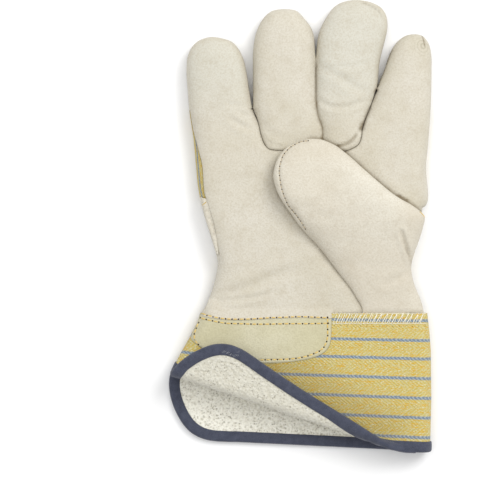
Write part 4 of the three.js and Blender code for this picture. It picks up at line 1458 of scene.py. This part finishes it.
def make_cuff_lining(surface):
    """The knit inner sheet, a little short of the canvas's slit edges, pitted and fluffy, with painted shade
    on the palm side that turns back as the flap.
    """
    s, y = cuff_places(WRIST_Y - GAP, 0.62, 0.68)
    s, y = s[:, 2:-2], y[:, 2:-2]
    flat = pairs(s, y)

    def uneven(size, seed):
        return lumps(flat, size, seed).reshape(s.shape)

    flap = smoothstep(0, 40, s)
    a = s + 1.6 * uneven(6.0, 21.0)
    b = y + 1.6 * uneven(6.0, 23.0)
    patchy = 0.75 + 0.5 * uneven(9.0, 25.0)
    coarse = pits_at(a, b, 1.9, 1.0) * (1 - 0.8 * flap)
    finer = pits_at(a, b, 1.45, 5.0) * (0.4 - 0.2 * flap)
    pits = np.clip(np.maximum(coarse, finer) * patchy, 0, 1)
    out = -(PLY_GAP + LINING) + 0.8 * pits - (0.22 * uneven(1.9, 1.0) + 0.3 * uneven(13, 2.0))
    # The pits darken the knit, and the palm side, which shows as the turned-back flap, gets painted shade.
    shade = np.clip(0.92 * pits + 0.36 * flap, 0, 1)
    points = cuff_offset(s, y, out).reshape(-1, 3)
    faces = grid_faces(*s.shape)[:, ::-1]
    piece = make_piece("cuff_knit", points, faces, surface, flat, {"pits_and_flap_shade": shade.ravel()})
    settle(piece, "knit_lining", "cuff_lining")
    return lay_flat(piece)


def tape_path():
    """Places (s, y) round the edge of the slit part of the cuff, with the way out at each."""
    s, y = cuff_places(TAPE_TOP_Y, 0.8, 1.0)
    line = np.vstack([
        np.column_stack([s[:, 0], y[:, 0]]),
        np.column_stack([s[-1, 1:-1], y[-1, 1:-1]]),
        np.column_stack([s[::-1, -1], y[::-1, -1]]),
    ])
    for _ in range(3):
        line[1:-1] = (line[:-2] + 2 * line[1:-1] + line[2:]) / 4
    return line, -left_of(np.gradient(line, axis=0))


def make_binding(surface):
    """The tape folded over the edge of the slit part of the cuff, a little puckered."""
    line, out = tape_path()
    section = np.array(TAPE_SECTION)
    reach = section[:, 0]
    s = line[:, 0:1] + out[:, 0:1] * reach
    y = line[:, 1:2] + out[:, 1:2] * reach
    run = run_of(line)
    pucker = [noise.noise(Vector((r / 2.2, 0, 0))) + noise.noise(Vector((r / 9, 3, 0))) for r in run]
    level = section[:, 1] + 0.14 * np.array(pucker)[:, None] * np.sign(section[:, 1])
    points = cuff_offset(s, y, level)
    uv = np.stack(np.broadcast_arrays(run[:, None], run_of(section)), -1).reshape(-1, 2)
    faces = grid_faces(*s.shape).tolist()
    columns = len(section)
    faces.append(list(range(columns))[::-1])
    faces.append([(len(line) - 1) * columns + i for i in range(columns)])
    piece = make_piece("binding", points.reshape(-1, 3), faces, surface, uv=uv)
    return settle(piece, "binding_tape", "cuff_binding")


def make_patch(surface):
    """The leather pulse patch, sunk along its edge and its seams."""
    rows = curve(PATCH, 1.0)
    share = np.linspace(0, 1, 90)
    x = rows[:, 1:2] + (rows[:, 2:3] - rows[:, 1:2]) * share
    y = np.broadcast_to(rows[:, 0:1], x.shape)
    flat = pairs(x, y)
    rim = np.vstack([rows[:, 1::-1], rows[::-1, 2::-2]])
    gap = distance(rim, flat, closed=True)
    level = 1.95 - 0.45 * bell(gap, 0.6)
    for seam in PATCH_SEAMS:
        level -= 0.3 * bell(distance(curve(seam, 1.0), flat), 0.6)
    points = cuff_offset(cuff_place(x, y), y, level.reshape(x.shape)).reshape(-1, 3)
    points[:, 2] += 0.15 * lumps(points, 14, 8.0)
    marks = {"seam": 0.25 * bell(gap, 0.4)}
    piece = make_piece("pulse_patch", points, grid_faces(*x.shape)[:, ::-1], surface, marks=marks)
    return settle(thicken(piece, PATCH_LEATHER), "patch_hide", "vein_patch")


def shed_lint(threads, ground):
    """Short curled fibres on the patch, beside the tip of the turned-back corner."""
    for i in range(22):
        x = -46 + 10 * ((i * 0.618) % 1)
        y = -75.3 + 3.0 * ((i * 0.377) % 1)
        turn = np.linspace(0, 2.2, 7) + 2.4 * i
        hair = np.column_stack([x + 0.9 * np.cos(turn), y + 0.7 * np.sin(1.3 * turn)])
        places = ground.lay(hair, 0.1, 0, 1)
        if places is not None:
            threads.tube(places, 0.055, sides=4)


def make_stitches(palm, back, cuff):
    """All sewing threads, needle holes and lint, as a few joined meshes."""
    gold, brown, white, fluff, dark, pits = (Bundle() for _ in range(6))
    sewn = Ground(palm)
    for line in [HEM_UPPER, HEM_LOWER] + PATCH_SEAMS:
        sew(gold, dark, sewn, line)
    sew(gold, dark, sewn, WRIST_STITCHES, STITCH, 0.16, 0.22)
    for tack in TACKS:
        sew(gold, pits, sewn, *tack)
    sew(brown, pits, sewn, THUMB_SEAM, 2.75, 0.2, 0.36, 0.2)
    serge(white, sewn, 18.9, 74, SERGE_DEPTH)
    shed_lint(fluff, sewn)
    under = Ground(back + [cuff], -1)
    for name, rows in FINGERS.items():
        edge = cap_edge(name) + 3
        left = np.interp(edge, [row[1] for row in rows], [row[0] for row in rows]) + 3.5
        right = np.interp(edge, [row[3] for row in rows], [row[2] for row in rows]) - 3.5
        sew(gold, dark, under, [(left, edge), ((left + right) / 2, edge), (right, edge)])
    for rise in (3, STRAP_WIDTH - 3):
        x = np.linspace(-46, 62, 12)
        sew(gold, dark, under, np.column_stack([x, strap_low(x) + rise]))
    serge(white, under, -54, 71, SERGE_BACK_DEPTH)
    gold_thread = thread("gold_thread", srgb(228, 202, 126), srgb(214, 178, 92))
    gold.piece("gold_stitches", gold_thread, "binding_tape")
    tan_thread = thread("tan_thread", srgb(196, 178, 140), srgb(160, 136, 96))
    brown.piece("thumb_stitches", tan_thread, "palm_hide")
    white_thread = thread("white_thread", srgb(246, 243, 230), srgb(226, 220, 192))
    white.piece("serged_threads", white_thread, "striped_canvas")
    fluff.piece("tape_lint", thread("lint", srgb(168, 170, 176), srgb(140, 144, 156)), "binding_tape")
    # The needle holes are dark brown cones: painted shade inside the holes.
    dark.piece("needle_holes", needle_hole_shade("needle_hole_dark_shade"), "palm_hide")
    pits.piece("thumb_needle_holes", needle_hole_shade("needle_hole_brown_shade"), "palm_hide")


def setting():
    """Floor, light and camera."""
    size = FLOOR_HALF / MM
    corners = [(-size, -size, 0), (size, -size, 0), (size, size, 0), (-size, size, 0)]
    make_piece("floor", corners, [(0, 1, 2, 3)], table_top("table_top"))
    world = bpy.data.worlds.new("studio")
    world.use_nodes = True
    sky = world.node_tree.nodes["Background"]
    sky.inputs["Color"].default_value = (1, 1, 1, 1)
    sky.inputs["Strength"].default_value = SKY_STRENGTH
    scene = bpy.context.scene
    scene.world = world
    for name, where, wide, power in LAMPS:
        lamp = bpy.data.lights.new(name, "AREA")
        lamp.size = wide
        lamp.energy = power
        holder = bpy.data.objects.new(name, lamp)
        holder.location = where
        holder.rotation_mode = "QUATERNION"
        holder.rotation_quaternion = (-Vector(where)).to_track_quat("-Z", "Y")
        scene.collection.objects.link(holder)
    view = bpy.data.cameras.new("photo_camera")
    view.lens = CAMERA_LENS
    view.sensor_width = 36
    camera = bpy.data.objects.new("photo_camera", view)
    camera.location = CAMERA_PLACE
    scene.collection.objects.link(camera)
    scene.camera = camera
    scene.view_settings.view_transform = "Standard"


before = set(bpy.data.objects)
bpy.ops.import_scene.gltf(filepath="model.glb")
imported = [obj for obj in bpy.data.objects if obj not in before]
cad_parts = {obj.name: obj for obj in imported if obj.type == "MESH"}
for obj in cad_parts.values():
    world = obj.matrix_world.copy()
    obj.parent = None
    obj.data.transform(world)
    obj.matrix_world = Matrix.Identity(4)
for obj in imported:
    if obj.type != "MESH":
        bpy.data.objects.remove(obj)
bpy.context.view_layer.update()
palm_hide = leather("palm_leather_grain", PUCKER_SHADE_CENTRE)
thumb_hide = leather("thumb_leather_grain")
trim_hide = leather("trim_leather_grain")
patch_hide = leather("patch_leather_grain")
hand_canvas = canvas("striped_canvas_back", FIRST_BACK_STRIPE)
cuff_canvas = canvas("striped_canvas_cuff", FIRST_CUFF_STRIPE)
cuff_cloth = make_cuff_canvas(cuff_canvas)
make_cuff_lining(knit("loop_knit"))
tape = make_binding(twill_tape("navy_tape"))
patch = make_patch(patch_hide)
palm_side = make_front(palm_hide, hand_canvas, thumb_hide, Ground([cuff_cloth, patch]))
palm_side += [make_thumb(thumb_hide), cuff_cloth, patch]
make_stitches(palm_side + [tape], make_back(trim_hide, hand_canvas), cuff_cloth)
setting()
